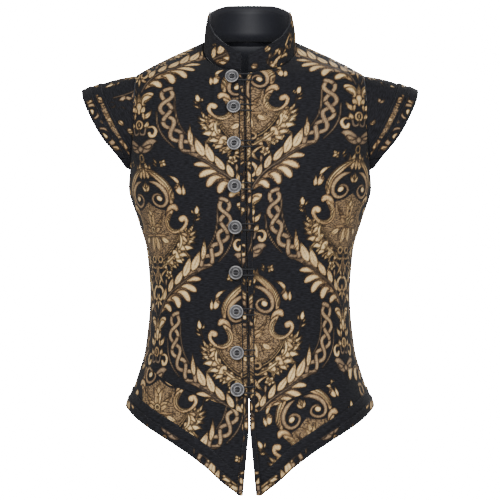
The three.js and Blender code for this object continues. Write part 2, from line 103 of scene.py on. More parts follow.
def readTable(rows, at, column=1):
    # Smooth value of a column through every row, level past the ends
    x = np.array([row[0] for row in rows], float)
    y = np.array([row[column] for row in rows], float)
    slopes = np.diff(y) / np.diff(x)
    product = slopes[:-1] * slopes[1:]
    total = slopes[:-1] + slopes[1:]
    soft = np.where(product > 0, 2 * product / np.where(total == 0, 1, total), 0)
    tangents = np.concatenate([slopes[:1], soft, slopes[-1:]])
    at = np.clip(np.asarray(at, float), x[0], x[-1])
    i = np.clip(np.searchsorted(x, at, side="right") - 1, 0, len(x) - 2)
    span = x[i + 1] - x[i]
    rise = y[i + 1] - y[i]
    t = (at - x[i]) / span
    bend = tangents[i] * span - rise
    turn = rise - tangents[i + 1] * span
    return y[i] + t * rise + t * (1 - t) * ((1 - t) * bend + t * turn)


def runAlong(path):
    # Distance covered at each point of a path
    return np.concatenate([[0], np.cumsum(np.linalg.norm(np.diff(path, axis=0), axis=1))])


def smoothPath(points, steps):
    # A smooth line through all the points, in so many steps from one to the next
    points = np.array(points, float)
    padded = np.concatenate([2 * points[:1] - points[1:2], points, 2 * points[-1:] - points[-2:-1]])
    t = np.linspace(0, 1, steps + 1)[:-1, None]
    parts = []
    for i in range(1, len(padded) - 2):
        p0, p1, p2, p3 = padded[i - 1:i + 3]
        parts.append(0.5 * (2 * p1 + (p2 - p0) * t + (2 * p0 - 5 * p1 + 4 * p2 - p3) * t * t
                            + (3 * p1 - p0 - 3 * p2 + p3) * t ** 3))
    return np.concatenate(parts + [points[-1:]])


def toSide(points, side):
    return points * np.array([side, 1, 1])


def tierAt(layer, gap=vestCut["layerGap"]):
    # How far the outer face of a tier of trim stands off the cloth
    return gap + layer * (vestCut["bandWall"] + vestCut["layerGap"]) + vestCut["bandWall"]


def section(z, column):
    return readTable(vestCut["sections"], z, column)


def body(angle, z):
    # A point of the worn shape, angle in degrees from the centre front
    across = np.sin(np.radians(angle))
    along = np.cos(np.radians(angle))
    depth = np.where(along > 0, section(z, 2), section(z, 3))
    square = section(z, 4)
    x = section(z, 1) * across * (1 + square * along * along)
    y = -depth * along * (1 + square * across * across)
    return np.stack(np.broadcast_arrays(x, y, np.asarray(z, float)), -1)


def bodyNormal(angle, z):
    across = body(angle + 0.5, z) - body(angle - 0.5, z)
    up = body(angle, z + 1.0) - body(angle, z - 1.0)
    normal = np.cross(across, up)
    return normal / np.linalg.norm(normal, axis=-1, keepdims=True)


def offBody(angle, z, at):
    return body(angle, z) + bodyNormal(angle, z) * at


def angleAcross(x, z):
    return np.degrees(np.arcsin(np.clip(x / (section(z, 1) * (1 + section(z, 4))), -1, 1)))


def angleDeep(y, z):
    # The angle at which the worn shape is y deep, found step by step
    depth = np.where(y < 0, section(z, 2), section(z, 3))
    square = section(z, 4)
    along = np.abs(y) / depth
    for _ in range(8):
        along = np.abs(y) / (depth * (1 + square * (1 - along * along)))
    angle = np.degrees(np.arccos(np.clip(along, 0, 1)))
    return np.where(y < 0, angle, 180 - angle)


def closureEdge(side, z):
    # How far a front's closing edge is from the middle, on that front's own side
    (topZ, topX), (footZ, footX) = vestCut["closureTop"], vestCut["closureFoot"]
    gapZ, gapWidth = vestCut["neckGap"]
    slitTop, slitFoot, slitWidth = vestCut["slit"]
    z = np.asarray(z, float)
    middle = lerp(topX, footX, np.clip((topZ - z) / (topZ - footZ), 0, 1))
    opened = np.clip((slitTop - z) / (slitTop - slitFoot), 0, 1) * slitWidth
    rise = np.clip((z - gapZ) / (topZ - gapZ), 0, 1)
    gap = np.maximum(np.maximum(vestCut["closureHalfGap"], opened), rise * rise * gapWidth)
    return side * middle + gap


# Length round the body from the centre front, and up the cloth, kept as two tables
arcGrid = {"foot": -704, "top": 8.1, "climb": 4.0, "turn": 1.5}
arcHeights = np.arange(arcGrid["foot"], arcGrid["top"], arcGrid["climb"])
arcAngles = np.arange(0, 180.1, arcGrid["turn"])
arcLengths = np.stack([runAlong(body(arcAngles, z)) for z in arcHeights])
climbLengths = runAlong(body(30.0, arcHeights))
climbLengths += -100 - np.interp(-100, arcHeights, climbLengths)


def arcRound(angle, z):
    # Read between the table's rows and columns
    i = np.clip((np.asarray(z) - arcGrid["foot"]) / arcGrid["climb"], 0, len(arcHeights) - 1.001)
    j = np.clip(np.asarray(angle) / arcGrid["turn"], 0, len(arcAngles) - 1.001)
    i, j = np.broadcast_arrays(i, j)
    i0, j0 = i.astype(int), j.astype(int)
    fi, fj = i - i0, j - j0
    low = lerp(arcLengths[i0, j0], arcLengths[i0, j0 + 1], fj)
    high = lerp(arcLengths[i0 + 1, j0], arcLengths[i0 + 1, j0 + 1], fj)
    return lerp(low, high, fi)


def clothHeight(z):
    return np.interp(z, arcHeights, climbLengths)


# The brocade's figure: an ogee lattice of laurel and braid round scrolled cartouches.
# Drawn in units of 1.5 mm of cloth, from the axis outwards and downwards.
damask = {"unit": 1.5, "columns": 108.0, "drop": 227.0, "step": 0.4, "top": -64.0, "reach": 6.0, "rim": 1.2,
          "margin": 4.5, "thinnest": 0.1}
figure = []


def stroke(points, tone=0.55, vein=False, cool=0.0):
    # points hold x, y and half width; the line through them is made smooth
    control = smoothPath(points, 4) if len(points) > 2 else np.array(points, float)
    control[:, 2] = np.maximum(control[:, 2], damask["thinnest"])
    figure.append((control, tone, vein, cool))


# Share of a leaf's length, and of its half width there
leafShape = [(0, 0.3), (0.14, 0.74), (0.34, 1), (0.56, 0.84), (0.78, 0.5), (0.96, 0.2), (1.1, 0.02)]


def leaf(x0, y0, x1, y1, half, bend=0.0, tone=0.6, vein=True, cool=0.0):
    # A pointed leaf from its foot to its tip
    dx, dy = x1 - x0, y1 - y0
    rows = []
    for t, share in leafShape:
        lift = bend * math.sin(math.pi * t)
        rows.append((x0 + dx * t - dy * lift, y0 + dy * t + dx * lift, half * share))
    stroke(rows, tone, vein, cool)


def leaves(*rows, vein=True):
    for row in rows:
        leaf(*row, vein=vein)


def acanthus(x0, y0, x1, y1, half, bend, tone):
    # A leaf with a lobe on each side, drawn under it
    dx, dy = x1 - x0, y1 - y0
    x, y = x0 + dx * 0.16, y0 + dy * 0.16
    for turn in (0.8, -0.8):
        c, s = math.cos(turn) * 0.74, math.sin(turn) * 0.74
        leaf(x, y, x + dx * c - dy * s, y + dx * s + dy * c, half * 0.72, 0.2 * turn, tone, False)
    leaf(x0, y0, x1, y1, half * 0.85, bend, tone + 0.1, False)


def ring(x, y, wide, high, half, tone=0.6):
    turns = np.linspace(0, 2 * math.pi, 17)
    stroke([(x + wide * math.cos(a), y + high * math.sin(a), half) for a in turns], tone)


def braid(path, swing, period, half, tone, cool):
    # Two strands that pass over and under each other
    path = np.array(path, float)
    run = runAlong(path)
    s = np.arange(0, run[-1], 1.5)
    centre = np.stack([np.interp(s, run, path[:, i]) for i in (0, 1)], 1)
    for _ in range(4):
        centre[1:-1] = (centre[:-2] + 2 * centre[1:-1] + centre[2:]) / 4
    ahead = np.gradient(centre, axis=0)
    across = np.stack([-ahead[:, 1], ahead[:, 0]], 1) / np.linalg.norm(ahead, axis=1)[:, None]
    strands = []
    for turn in (1, -1):
        at = centre + across * (turn * swing * np.sin(np.pi * s / period))[:, None]
        strands.append(np.concatenate([at, np.full((len(at), 1), half)], 1))
        stroke(strands[-1], tone, False, cool)
    for k in range(1, int(run[-1] / period) + 1, 2):
        near = np.abs(s - k * period) < period * 0.33
        if near.sum() > 2:
            stroke(strands[0][near], tone, False, cool)


def drawCartouche():
    # Leaves outside the beaded arc
    for foot, tip, half, bend in (
            ((42, 12), (49.5, 2.2), 2.3, 0.05), ((44, 13), (51.8, 7.6), 1.7, 0.1),
            ((38.5, 15), (37, 6.5), 2.8, 0), ((42, 18), (52, 13.4), 1.8, 0.1),
            ((41, 22), (49.5, 18.6), 2.5, -0.1),
            ((36, 29), (48.8, 26), 3.5, -0.16), ((33, 33), (42.5, 33.4), 2.9, -0.12),
            ((29, 37), (37, 41.2), 2.7, -0.1), ((22, 41), (29.4, 46.4), 2.5, -0.1)):
        acanthus(*foot, *tip, half, bend, 0.74)
    for foot, tip, half in (
            ((34.5, 14), (43, 19), 4.2), ((32, 21.5), (40.5, 27.5), 4), ((26.5, 28.5), (33.5, 36), 4.2),
            ((20, 34.5), (25.6, 42.4), 3.9), ((12, 39.6), (17, 46.6), 3.2)):
        acanthus(*foot, *tip, half, 0.08, 0.64)
    stroke([(34.4, 12, 0.8), (36, 17, 1.5), (35, 23, 1.3), (31.5, 27.5, 0.7)], 0.9)
    stroke([(28, 32, 0.6), (24, 35.4, 1.2), (17, 40, 1.3), (9, 43.6, 0.8)], 0.9)
    # Beaded double arc
    for half, tone, arc in (
            (0.75, 0.85, [(33.4, 13), (29.4, 20.8), (22.6, 29), (14.6, 35.4), (0, 41.4)]),
            (0.6, 0.75, [(31.2, 11.6), (26.8, 19), (20, 26.8), (12.8, 32.2), (0, 37.6)])):
        stroke([(x, y, half) for x, y in arc], tone)
    # Horn and its flames
    leaves((0, -44, 0.4, -56, 2.2, 0, 0.7), (4.4, -44, 2.2, -61, 2.7, 0.06, 0.74),
           (9, -46, 8.2, -58, 2.3, -0.1, 0.66))
    stroke([(3, -53, 1.2), (9.3, -49.6, 2.6), (16, -44.2, 3.3), (21.6, -38.6, 3.4), (25.8, -32.4, 3.1),
            (27.8, -26, 2.7), (27.2, -19.6, 1.8)], 0.6)
    stroke([(5, -52.4, 0.5), (12.4, -48.4, 0.9), (19.2, -42.6, 1.1), (24.6, -36, 1), (27.8, -28, 0.8),
            (28.4, -22, 0.4)], 0.98)
    stroke([(5.6, -40.8, 0.8), (12, -39, 2), (18, -34.6, 2.5), (22, -28.6, 2.3), (22.6, -21.8, 2),
            (19.2, -17, 1.8), (14, -16.2, 1.6), (9, -18.6, 1.5), (6.4, -22.8, 1.4), (8.4, -26.8, 1.3),
            (12.4, -28.2, 1.3), (15.6, -26.8, 1.6)], 0.5, False, 0.35)
    stroke([(13.8, -24.4, 2.7), (15.2, -23.6, 2.7)], 0.85)
    for tip, half in (((0, -40.5), 1.9), ((4.2, -37.8), 1.6)):
        leaf(0.4, -31, *tip, half, 0.1, 0.75, False)
    # Shoulder lobe and the open scroll
    stroke([(22, -9, 2.2), (25.4, -13.6, 3.4), (30, -15.6, 3.3), (32, -13.2, 2.2)], 0.52)
    stroke([(27.6, -11.6, 1.4), (23.4, -7, 2.8), (20.8, -0.6, 2.9), (22.4, 5.4, 2.8), (28.4, 9, 2.4),
            (35.6, 7.8, 1.6), (40.6, 3.4, 1.9), (42.2, -1.4, 2.2), (40, -4.8, 2.6), (37.2, -3.4, 3.4)], 0.6)
    stroke([(25, -8, 0.5), (21.6, -2.6, 0.9), (22, 3, 0.9), (27, 7.6, 0.8), (34, 7.2, 0.5)], 0.95)
    # Palmette, generic, with leaves at its sides
    for tip, half, bend in (((17, -12), 2, 0.14), ((15.4, -5), 2.2, 0.1), ((13.4, 1.4), 2.2, 0)):
        leaf(3, 5, *tip, half, bend, 0.62)
    leaves((0, 8, 0, -17, 3.5, 0, 0.78), (1.5, 7, 7.6, -13, 2.6, -0.12, 0.7))
    ring(0, 7.4, 2.6, 2.6, 1, 0.95)
    leaf(4.6, 9.6, 13.6, 5.4, 2.3, -0.1, 0.62)
    stroke([(2, 13, 1), (8, 12.8, 1.5), (14, 13, 1.4), (21, 12.4, 0.5)], 0.5)
    leaves((12.6, 15.6, 22.8, 19.4, 2.9, 0.1, 0.8), (3.6, 15, 8.6, 31, 3.5, 0.1, 0.72))
    stroke([(8.6, 15.2, 0.6), (11.6, 19.6, 0.8), (13, 25, 0.5)], 0.5)
    leaf(0, 14, 0, 27, 2.2, 0, 0.62)
    ring(6.4, 36.8, 3.6, 3, 1.2, 0.7)
    # Small bud beside the horn, and a sprig beside the scroll
    leaf(36, -38, 26.4, -46, 1.9, 0.12, 0.8, False)
    stroke([(34.6, -37, 1.6), (35.4, -32.4, 3), (36.6, -29.6, 2.2)], 0.66)
    leaves((40.6, -27, 40.2, -37.4, 1.8, 0, 0.8), (34.6, -36, 31, -33.6, 1.3, 0, 0.4),
           (52.6, -8.6, 53.8, -17, 2.3, 0, 0.9), (49.6, -8.6, 47.6, -12.6, 1.1, 0, 0.85),
           (53.6, -6, 56.8, -9.4, 0.9, 0, 0.75), (51.8, -1.8, 57, -4.6, 1.1, 0, 0.8), vein=False)
    stroke([(52, -8, 0.35), (50.6, -3, 0.4), (49.6, 0, 0.35)], 0.3, False, 0.6)
    # Flower of four petals, with two short strokes beside it
    for tip in ((18.6, -60.6), (23.4, -62.4), (19.6, -55), (24.6, -56.4)):
        leaf(21.6, -58.4, *tip, 1.6, 0, 0.8, False)
    leaves((15.4, -58.6, 12.8, -63.4, 0.9, 0, 0.95), (15, -56, 11.4, -59.4, 0.8, 0, 0.85), vein=False)


def drawPendant():
    # Five-petalled flowers and hooked leaves below a cartouche
    stroke([(0, 44, 1.2), (7.4, 45.6, 1), (13, 42.6, 0.9), (18.4, 41.2, 0.9), (23.6, 45.2, 0.8)], 0.8)
    for k in range(5):
        turn = 2 * math.pi * k / 5 + 0.4
        leaf(19, 52, 19 + 5.4 * math.cos(turn), 52 + 5 * math.sin(turn), 2.1, 0, 0.82, False)
    stroke([(19, 52, 1.3), (19.4, 52, 1.3)], 0.35)
    stroke([(17, 47, 0.8), (11, 50, 1.2), (6, 55, 1.6), (2.6, 62, 1.2)], 0.7)
    leaf(3.6, 50, 12.6, 61.6, 1.9, 0.1, 0.68)
    leaf(15, 56, 14.6, 64.6, 1.5, 0, 0.55, False, 0.4)
    leaf(1.4, 42, 0.8, 61, 1.7, 0, 0.6, False)
    stroke([(0, 64.4, 1.5), (4.6, 64, 1.7), (8.8, 67.4, 1.9), (9, 73, 1.8), (5, 77, 1.6), (1.4, 75.4, 1.3),
            (1.6, 72, 1.3)], 0.72)
    leaves((2, 78, 9.4, 82.4, 1.7, 0.1, 0.65), (0, 78, 0, 88, 1.6, 0, 0.7), vein=False)


def drawFrame():
    # Braid, its side threads, and laurel that springs from the crossing on the axis
    stroke([(74.2, -15.4, 0.7), (73.8, 0, 0.8), (70.4, 14.6, 0.8), (63.8, 26, 0.6)], 0.6, False, 0.8)
    stroke([(90.6, 2, 0.7), (89, 17, 0.9), (83.4, 29, 0.9), (74.8, 39, 0.6)], 0.6, False, 0.8)
    braid([(57, 43), (61, 40), (66.4, 35.6), (75.4, 23.2), (81, 9), (82.6, -6), (80.4, -20), (77, -25)],
          5.0, 15.2, 2.15, 0.5, 0.45)
    for foot, tip, half, bend in (
            ((25, 66.5), (60, 56.8), 3.3, -0.03), ((26, 70), (53.6, 69.9), 4.1, -0.08),
            ((22, 73), (45, 80.6), 4.3, -0.12), ((15.6, 78.4), (32.6, 86.4), 4.6, -0.16),
            ((7, 89.4), (22.6, 89.6), 4, -0.16)):
        # Each laurel leaf is drawn twice: a darker whole leaf, then a narrower lighter copy over its outer
        # part as a painted highlight
        for share, wide, tone in ((0, 1.0, 0.44), (0.26, 0.74, 0.68)):
            run = [tip[i] - foot[i] for i in (0, 1)]
            rows = []
            for t, size in ((0, 0.24), (0.3, 0.7), (0.58, 1), (0.8, 0.95), (0.93, 0.6)):
                t = lerp(share, 0.93, t)
                drop = (bend * 2.2 - 0.06) * math.sin(math.pi * t)
                rows.append((foot[0] + run[0] * t - run[1] * drop, foot[1] + run[1] * t + run[0] * drop,
                             half * wide * size * 1.08))
            stroke(rows, tone, share == 0)
    leaf(38, 57.4, 64.6, 44.4, 3.1, -0.08, 0.45, True, 0.3)
    stroke([(3, 93, 0.9), (9, 82, 1), (20, 70.6, 1), (36, 60, 0.9), (52, 49, 0.7)], 0.4, False, 0.7)
    for foot, tip, half in (
            ((10.4, 76.6), (14.6, 64.6), 3), ((18.6, 68.4), (24.6, 54.6), 3.4),
            ((27.4, 61), (37.6, 46.4), 3.6), ((38.4, 53), (45, 34.6), 4.1),
            ((47.4, 47), (55.2, 29.4), 4.2), ((58.4, 37), (60.2, 17.4), 2.6)):
        leaf(*foot, *tip, half, 0.03, 0.76)
    leaf(13.6, 95.4, 2.6, 108.6, 4.4, 0.12, 0.74)


def drawLily():
    # Lily, ring flower, buds and curls under the crossing
    leaf(0, 110.6, 0, 94, 3.2, 0, 0.74)
    stroke([(0, 112, 2), (0, 103.4, 1.2), (0, 99, 1)], 0.66)
    stroke([(0, 108, 3.4), (0, 112, 3.2), (0, 116.6, 1.4)], 0.66)
    stroke([(12.4, 98.6, 1), (8.2, 99.4, 2.7), (4.8, 102.6, 1.6), (4.4, 106.6, 1.3),
            (6.6, 107.4, 0.9)], 0.7)
    leaves((3.6, 115.6, 6.2, 108.6, 2.5, 0, 0.78), (4.8, 121.6, 12.8, 113.6, 2.5, 0.1, 0.8))
    leaf(4.4, 116, 5.6, 124, 1.7, 0, 0.7, False)
    ring(0, 128.6, 3.6, 4.2, 1.3, 0.7)
    stroke([(0, 127, 1), (0, 130, 1)], 0.9)
    leaf(7, 132.6, 9.6, 125, 2.5, 0, 0.78)
    stroke([(10, 131.4, 1), (14.4, 131.2, 1.4), (17, 135, 1.8), (15.4, 139.8, 2), (12, 140.4, 2),
            (10.8, 137.6, 1.9)], 0.76)
    stroke([(7, 132.4, 1.1), (5.6, 138.4, 1.3), (1.6, 138, 1.2), (0, 134, 0.9)], 0.45, False, 0.8)
    stroke([(17.6, 146.4, 0.4), (14.6, 145.8, 2.2), (11, 147.4, 3.9), (7.6, 151, 5.1), (4, 153.6, 4.3),
            (0, 153.4, 3.2)], 0.42, False, 0.55)
    leaf(12, 149.6, 3, 151.6, 2, -0.15, 0.5, False, 0.4)
    ring(0, 163, 2.2, 3.8, 0.85, 0.75)


drawCartouche()
drawPendant()
drawFrame()
drawLily()
# Corners of the stippled ground inside a cartouche
stippled = [(-8, -8), (0, -20), (8, -15), (14, -12.6), (19, -12), (18.6, 0), (21.4, 7), (27, 11.6),
            (32.6, 12.6), (28.6, 19.6), (22, 27.6), (14, 33.6), (-8, 39)]


def inPolygon(x, y, corners):
    inside = np.zeros(x.shape, bool)
    for (x0, y0), (x1, y1) in zip(corners, corners[1:] + corners[:1]):
        if y0 != y1:
            crosses = (y0 > y) != (y1 > y)
            inside ^= crosses & (x < x0 + (x1 - x0) * (y - y0) / (y1 - y0))
    return inside


def drawDamask():
    # Lays every shape over the ones before it, on one half of a repeat
    step, top, drop, half = damask["step"], damask["top"], damask["drop"], damask["columns"] / 2
    rim, margin = damask["rim"], damask["margin"]
    xs = np.arange(-rim, half + rim + 0.1, step)
    ys = np.arange(top - rim, top + drop + rim + 0.1, step)
    shape = (len(ys), len(xs))
    distance = np.full(shape, damask["reach"])
    line = np.full(shape, damask["reach"])
    tone = np.full(shape, 0.5)
    cool = np.zeros(shape)
    copies = [(mirror, shiftX, shiftY + k * drop) for k in (-1, 0, 1)
              for mirror, shiftX, shiftY in ((1, 0, 0), (-1, 0, 0), (-1, 2 * half, drop / 2))]
    for control, ownTone, vein, ownCool in figure:
        for mirror, shiftX, shiftY in copies:
            x = mirror * control[:, 0] + shiftX
            y = control[:, 1] + shiftY
            if x.max() < -4 or x.min() > half + 4 or y.max() < ys[0] - 4 or y.min() > ys[-1] + 4:
                continue
            thick = control[:, 2].max()
            i0, i1 = np.searchsorted(xs, (x.min() - margin - thick, x.max() + margin + thick))
            j0, j1 = np.searchsorted(ys, (y.min() - margin - thick, y.max() + margin + thick))
            if i1 <= i0 or j1 <= j0:
                continue
            gx, gy = xs[None, i0:i1], ys[j0:j1, None]
            best = np.full((j1 - j0, i1 - i0), 99.0)
            spine = best.copy()
            for k in range(len(x) - 1):
                dx, dy = x[k + 1] - x[k], y[k + 1] - y[k]
                t = np.clip(((gx - x[k]) * dx + (gy - y[k]) * dy) / max(dx * dx + dy * dy, 1e-6), 0, 1)
                away = np.hypot(gx - x[k] - t * dx, gy - y[k] - t * dy)
                best = np.minimum(best, away - lerp(control[k, 2], control[k + 1, 2], t))
                if len(x) / 8 < k < len(x) * 0.8:
                    spine = np.minimum(spine, away)
            part = (slice(j0, j1), slice(i0, i1))
            inside = best < 0
            own = np.minimum(-best, spine * 1.3 + 0.3) if vein else -best
            line[part] = np.where(inside, own, np.minimum(line[part], np.abs(best)))
            tone[part] = np.where(inside, ownTone, tone[part])
            cool[part] = np.where(inside, ownCool, cool[part])
            distance[part] = np.minimum(distance[part], best)
    gx, gy = np.meshgrid(xs, ys)
    stipple = inPolygon(gx, gy, stippled)
    for shift in (-drop / 2, drop / 2):
        stipple |= inPolygon(2 * half - gx, gy + shift, stippled)
    return {"distance": distance, "line": line, "tone": tone, "cool": cool,
            "stipple": stipple.astype(float)}


drawnDamask = drawDamask()
print("damask drawn from", len(figure), "shapes")


def damaskAt(x, y):
    # Values of the damask at any place, from the half repeat that is drawn
    half, drop, step, top = damask["columns"] / 2, damask["drop"], damask["step"], damask["top"]
    x = np.abs((np.asarray(x, float) + 2 * half) % (4 * half) - 2 * half)
    swapped = x > half
    x = np.where(swapped, 2 * half - x, x)
    y = np.where(swapped, y + drop / 2, y)
    y = (y - top) % drop + top
    shape = drawnDamask["line"].shape
    j = np.clip((y - top + damask["rim"]) / step, 0, shape[0] - 1.001)
    i = np.clip((x + damask["rim"]) / step, 0, shape[1] - 1.001)
    j0, i0 = j.astype(int), i.astype(int)
    fj, fi = j - j0, i - i0
    values = {}
    for key, grid in drawnDamask.items():
        low = lerp(grid[j0, i0], grid[j0, i0 + 1], fi)
        high = lerp(grid[j0 + 1, i0], grid[j0 + 1, i0 + 1], fi)
        values[key] = lerp(low, high, fj)
    return values


# How the cloth lies on each piece: where a cartouche's middle falls, and how the cloth widens
frontLie = {
    "right": {"axis": ((-98, 2.3), (-441, 2.3)), "middle": -112.0},
    "left": {"axis": ((-98, -7.7), (-441, 1.0)), "middle": -98.8},
    "widens": [(-620, -0.025), (-370, -0.025), (-260, 0.02), (-140, 0.142), (0, 0.142)],
}
# Elsewhere: the place round and up of the axis, and the turn in degrees
skirtLie = {"right": (-145.0, -550.0, -2.0), "left": (96.0, -604.0, 21.0)}
clothLie = {
    "back": (0.0, -130.0, 0.0), "hem": (-40.0, -655.0, 40.0), "backHem": (31.0, -540.0, 0.0),
    "strip": (30.0, -120.0, 0.0), "sleeve": (52.0, -62.0, 0.0), "sleeveTrim": (70.0, 130.0, 0.0),
    "collar": (12.0, -60.0, 0.0),
}
riseUnit = float(clothHeight(-98.8) - clothHeight(-441.6)) / damask["drop"]


def frontDamask(wearer, across, z):
    lie = frontLie[wearer]
    axis = np.interp(z, *zip(*lie["axis"][::-1]))
    x = (across - axis) / damask["unit"]
    widens = readTable(frontLie["widens"], z)
    x = x / (1 + widens * np.minimum(x / (1 + widens), 130) ** 2 / damask["columns"] ** 2)
    return damaskAt(x, (clothHeight(lie["middle"]) - clothHeight(z)) / riseUnit)


def turnedDamask(across, up, lie, side=1):
    middleAcross, middleUp, turn = lie
    dx, dz = (across - middleAcross * side) / damask["unit"], (up - middleUp) / damask["unit"]
    c, s = math.cos(math.radians(turn * side)), math.sin(math.radians(turn * side))
    return damaskAt(dx * c + dz * s, dx * s - dz * c)


def coons(edges, u, v):
    # Fills four edges, each of angle and height
    u, v = u[None, :], v[:, None]
    filled = []
    for i in (0, 1):
        low, top = edges["low"](u)[i], edges["top"](u)[i]
        inner, outer = edges["inner"](v)[i], edges["outer"](v)[i]
        start, end = np.zeros((1, 1)), np.ones((1, 1))
        corners = lerp(lerp(edges["low"](start)[i], edges["low"](end)[i], u),
                       lerp(edges["top"](start)[i], edges["top"](end)[i], u), v)
        filled.append(lerp(low, top, v) + lerp(inner, outer, u) - corners)
    return filled


def gapAngle(z):
    return np.degrees(vestCut["seamGap"] / section(z, 2))


def sideSeam(front, z):
    return (90 - gapAngle(z) if front else 90 + gapAngle(z)), z


def armholePoint(front, climb):
    middle, half, reachFront, reachBack = vestCut["armhole"]
    z = middle + half * np.sin(np.radians(climb))
    reach = (-reachFront if front else reachBack) * np.cos(np.radians(climb))
    gap = vestCut["seamGap"]
    y = np.minimum(reach, -gap) if front else np.maximum(reach, gap)
    return angleDeep(y, z), z


def outerEdge(front, lowZ, share):
    # Side seam, then armhole
    middle, half = vestCut["armhole"][:2]

    def edge(v):
        seam = sideSeam(front, lerp(lowZ, middle - half, v / share))
        hole = armholePoint(front, lerp(-90.0, 90.0, np.clip((v - share) / (1 - share), 0, 1)))
        return [np.where(v <= share, a, b) for a, b in zip(seam, hole)]
    return edge


def topEdge(front, firstAngle=0.0):
    # Neckline, then shoulder seam
    def edge(u):
        t = np.clip(u * 2, 0, 1)
        shoulder = sideSeam(front, lerp(0.0, vestCut["shoulderTip"], np.clip(u * 2 - 1, 0, 1)))
        if front:
            angle = lerp(firstAngle, 90 - gapAngle(0.0), t ** 1.35)
            neck = angle, readTable(vestCut["neckline"], angle)
        else:
            neck = lerp(180.0, 90 + gapAngle(0.0), t), lerp(vestCut["backNeck"], 0.0, t * t)
        return [np.where(u >= 0.5, a, b) for a, b in zip(shoulder, neck)]
    return edge


def closureAngle(side, z):
    return angleAcross(closureEdge(side, z), z)


hipGap = vestCut["seamGap"]
hipTop, hipSide = vestCut["hipSeam"][0][1], vestCut["hipSeam"][-1][1]
hemSideZ = vestCut["frontHem"][-1][1]


def frontEdges(side):
    lowZ = hipTop + hipGap

    def low(u):
        angle = lerp(closureAngle(side, lowZ), 90 - gapAngle(hipSide), u)
        return angle, readTable(vestCut["hipSeam"], angle) + hipGap

    def inner(v):
        z = lerp(lowZ, neckFoot, v)
        return closureAngle(side, z), z
    return {"low": low, "top": topEdge(True, closureAngle(side, neckFoot)), "inner": inner,
            "outer": outerEdge(True, hipSide + hipGap, vestCut["frontSeamShare"])}


def skirtEdges(side):
    topZ = hipTop - hipGap
    lowAngle = closureAngle(side, vestCut["slit"][1])

    def low(u):
        angle = lerp(lowAngle, 90 - gapAngle(hemSideZ), u ** 1.25)
        return angle, readTable(vestCut["frontHem"], angle)

    def top(u):
        angle = lerp(closureAngle(side, topZ), 90 - gapAngle(hipSide), u)
        return angle, readTable(vestCut["hipSeam"], angle) - hipGap

    def inner(v):
        z = lerp(readTable(vestCut["frontHem"], lowAngle), topZ, v)
        return closureAngle(side, z), z
    return {"low": low, "top": top, "inner": inner,
            "outer": lambda v: sideSeam(True, lerp(hemSideZ, hipSide - hipGap, v))}


def backEdges():
    return {
        "low": lambda u: (lerp(180.0, 90 + gapAngle(hemSideZ), u), hemSideZ + 0 * u),
        "top": topEdge(False),
        "inner": lambda v: (180.0 + 0 * v, lerp(hemSideZ, vestCut["backNeck"], v)),
        "outer": outerEdge(False, hemSideZ, vestCut["backSeamShare"]),
    }


def aboveHem(angle, distance):
    # Height of a line that runs along the hem at a distance over the cloth
    z = readTable(vestCut["frontHem"], angle)
    low, high = np.maximum(angle - 2, 7), np.minimum(angle + 2, 90)
    rise = readTable(vestCut["frontHem"], high) - readTable(vestCut["frontHem"], low)
    run = np.linalg.norm(body(high, z) - body(low, z), axis=-1)
    return z + distance * np.hypot(1, rise / run)


def hemEdges(side, width):
    def line(distance):
        first = np.full(1, 6.0)
        for _ in range(6):
            z = aboveHem(first, distance)
            first = angleAcross(closureEdge(side, z) + vestCut["edgeStrip"] + hemCut["foot"], z)

        def edge(u):
            angle = np.where(u <= 0, first[0], lerp(6.0, 90 - gapAngle(hemSideZ), u ** 1.15))
            angle = np.maximum(angle, first[0])
            return angle, aboveHem(angle, distance)
        return edge
    low, top = line(hemCut["foot"]), line(width)

    def across(u):
        ends = [low(np.full((1, 1), u)), top(np.full((1, 1), u))]
        return lambda v: [lerp(ends[0][i], ends[1][i], v) for i in (0, 1)]
    return {"low": low, "top": top, "inner": across(0.0), "outer": across(1.0)}


def backHemEdges(width):
    foot, top, seam = hemSideZ + hemCut["foot"], hemSideZ + width, 90 + gapAngle(hemSideZ)
    return {"low": lambda u: (lerp(180.0, seam, u), foot + 0 * u),
            "top": lambda u: (lerp(180.0, seam, u), top + 0 * u),
            "inner": lambda v: (180.0 + 0 * v, lerp(foot, top, v)),
            "outer": lambda v: (seam + 0 * v, lerp(foot, top, v))}


def gridNormals(points):
    along = np.gradient(points, axis=1)
    up = np.gradient(points, axis=0)
    normal = np.cross(along, up)
    length = np.linalg.norm(normal, axis=-1, keepdims=True)
    return normal / np.maximum(length, 1e-9)


def edgeDistance(points):
    # Distance over the cloth to the nearest of the four edges
    across = np.linalg.norm(np.diff(points, axis=1), axis=2)
    up = np.linalg.norm(np.diff(points, axis=0), axis=2)
    fromLeft = np.concatenate([np.zeros((len(points), 1)), np.cumsum(across, 1)], 1)
    fromLow = np.concatenate([np.zeros((1, points.shape[1])), np.cumsum(up, 0)], 0)
    return np.minimum.reduce([fromLeft, fromLeft[:, -1:] - fromLeft, fromLow, fromLow[-1:] - fromLow])


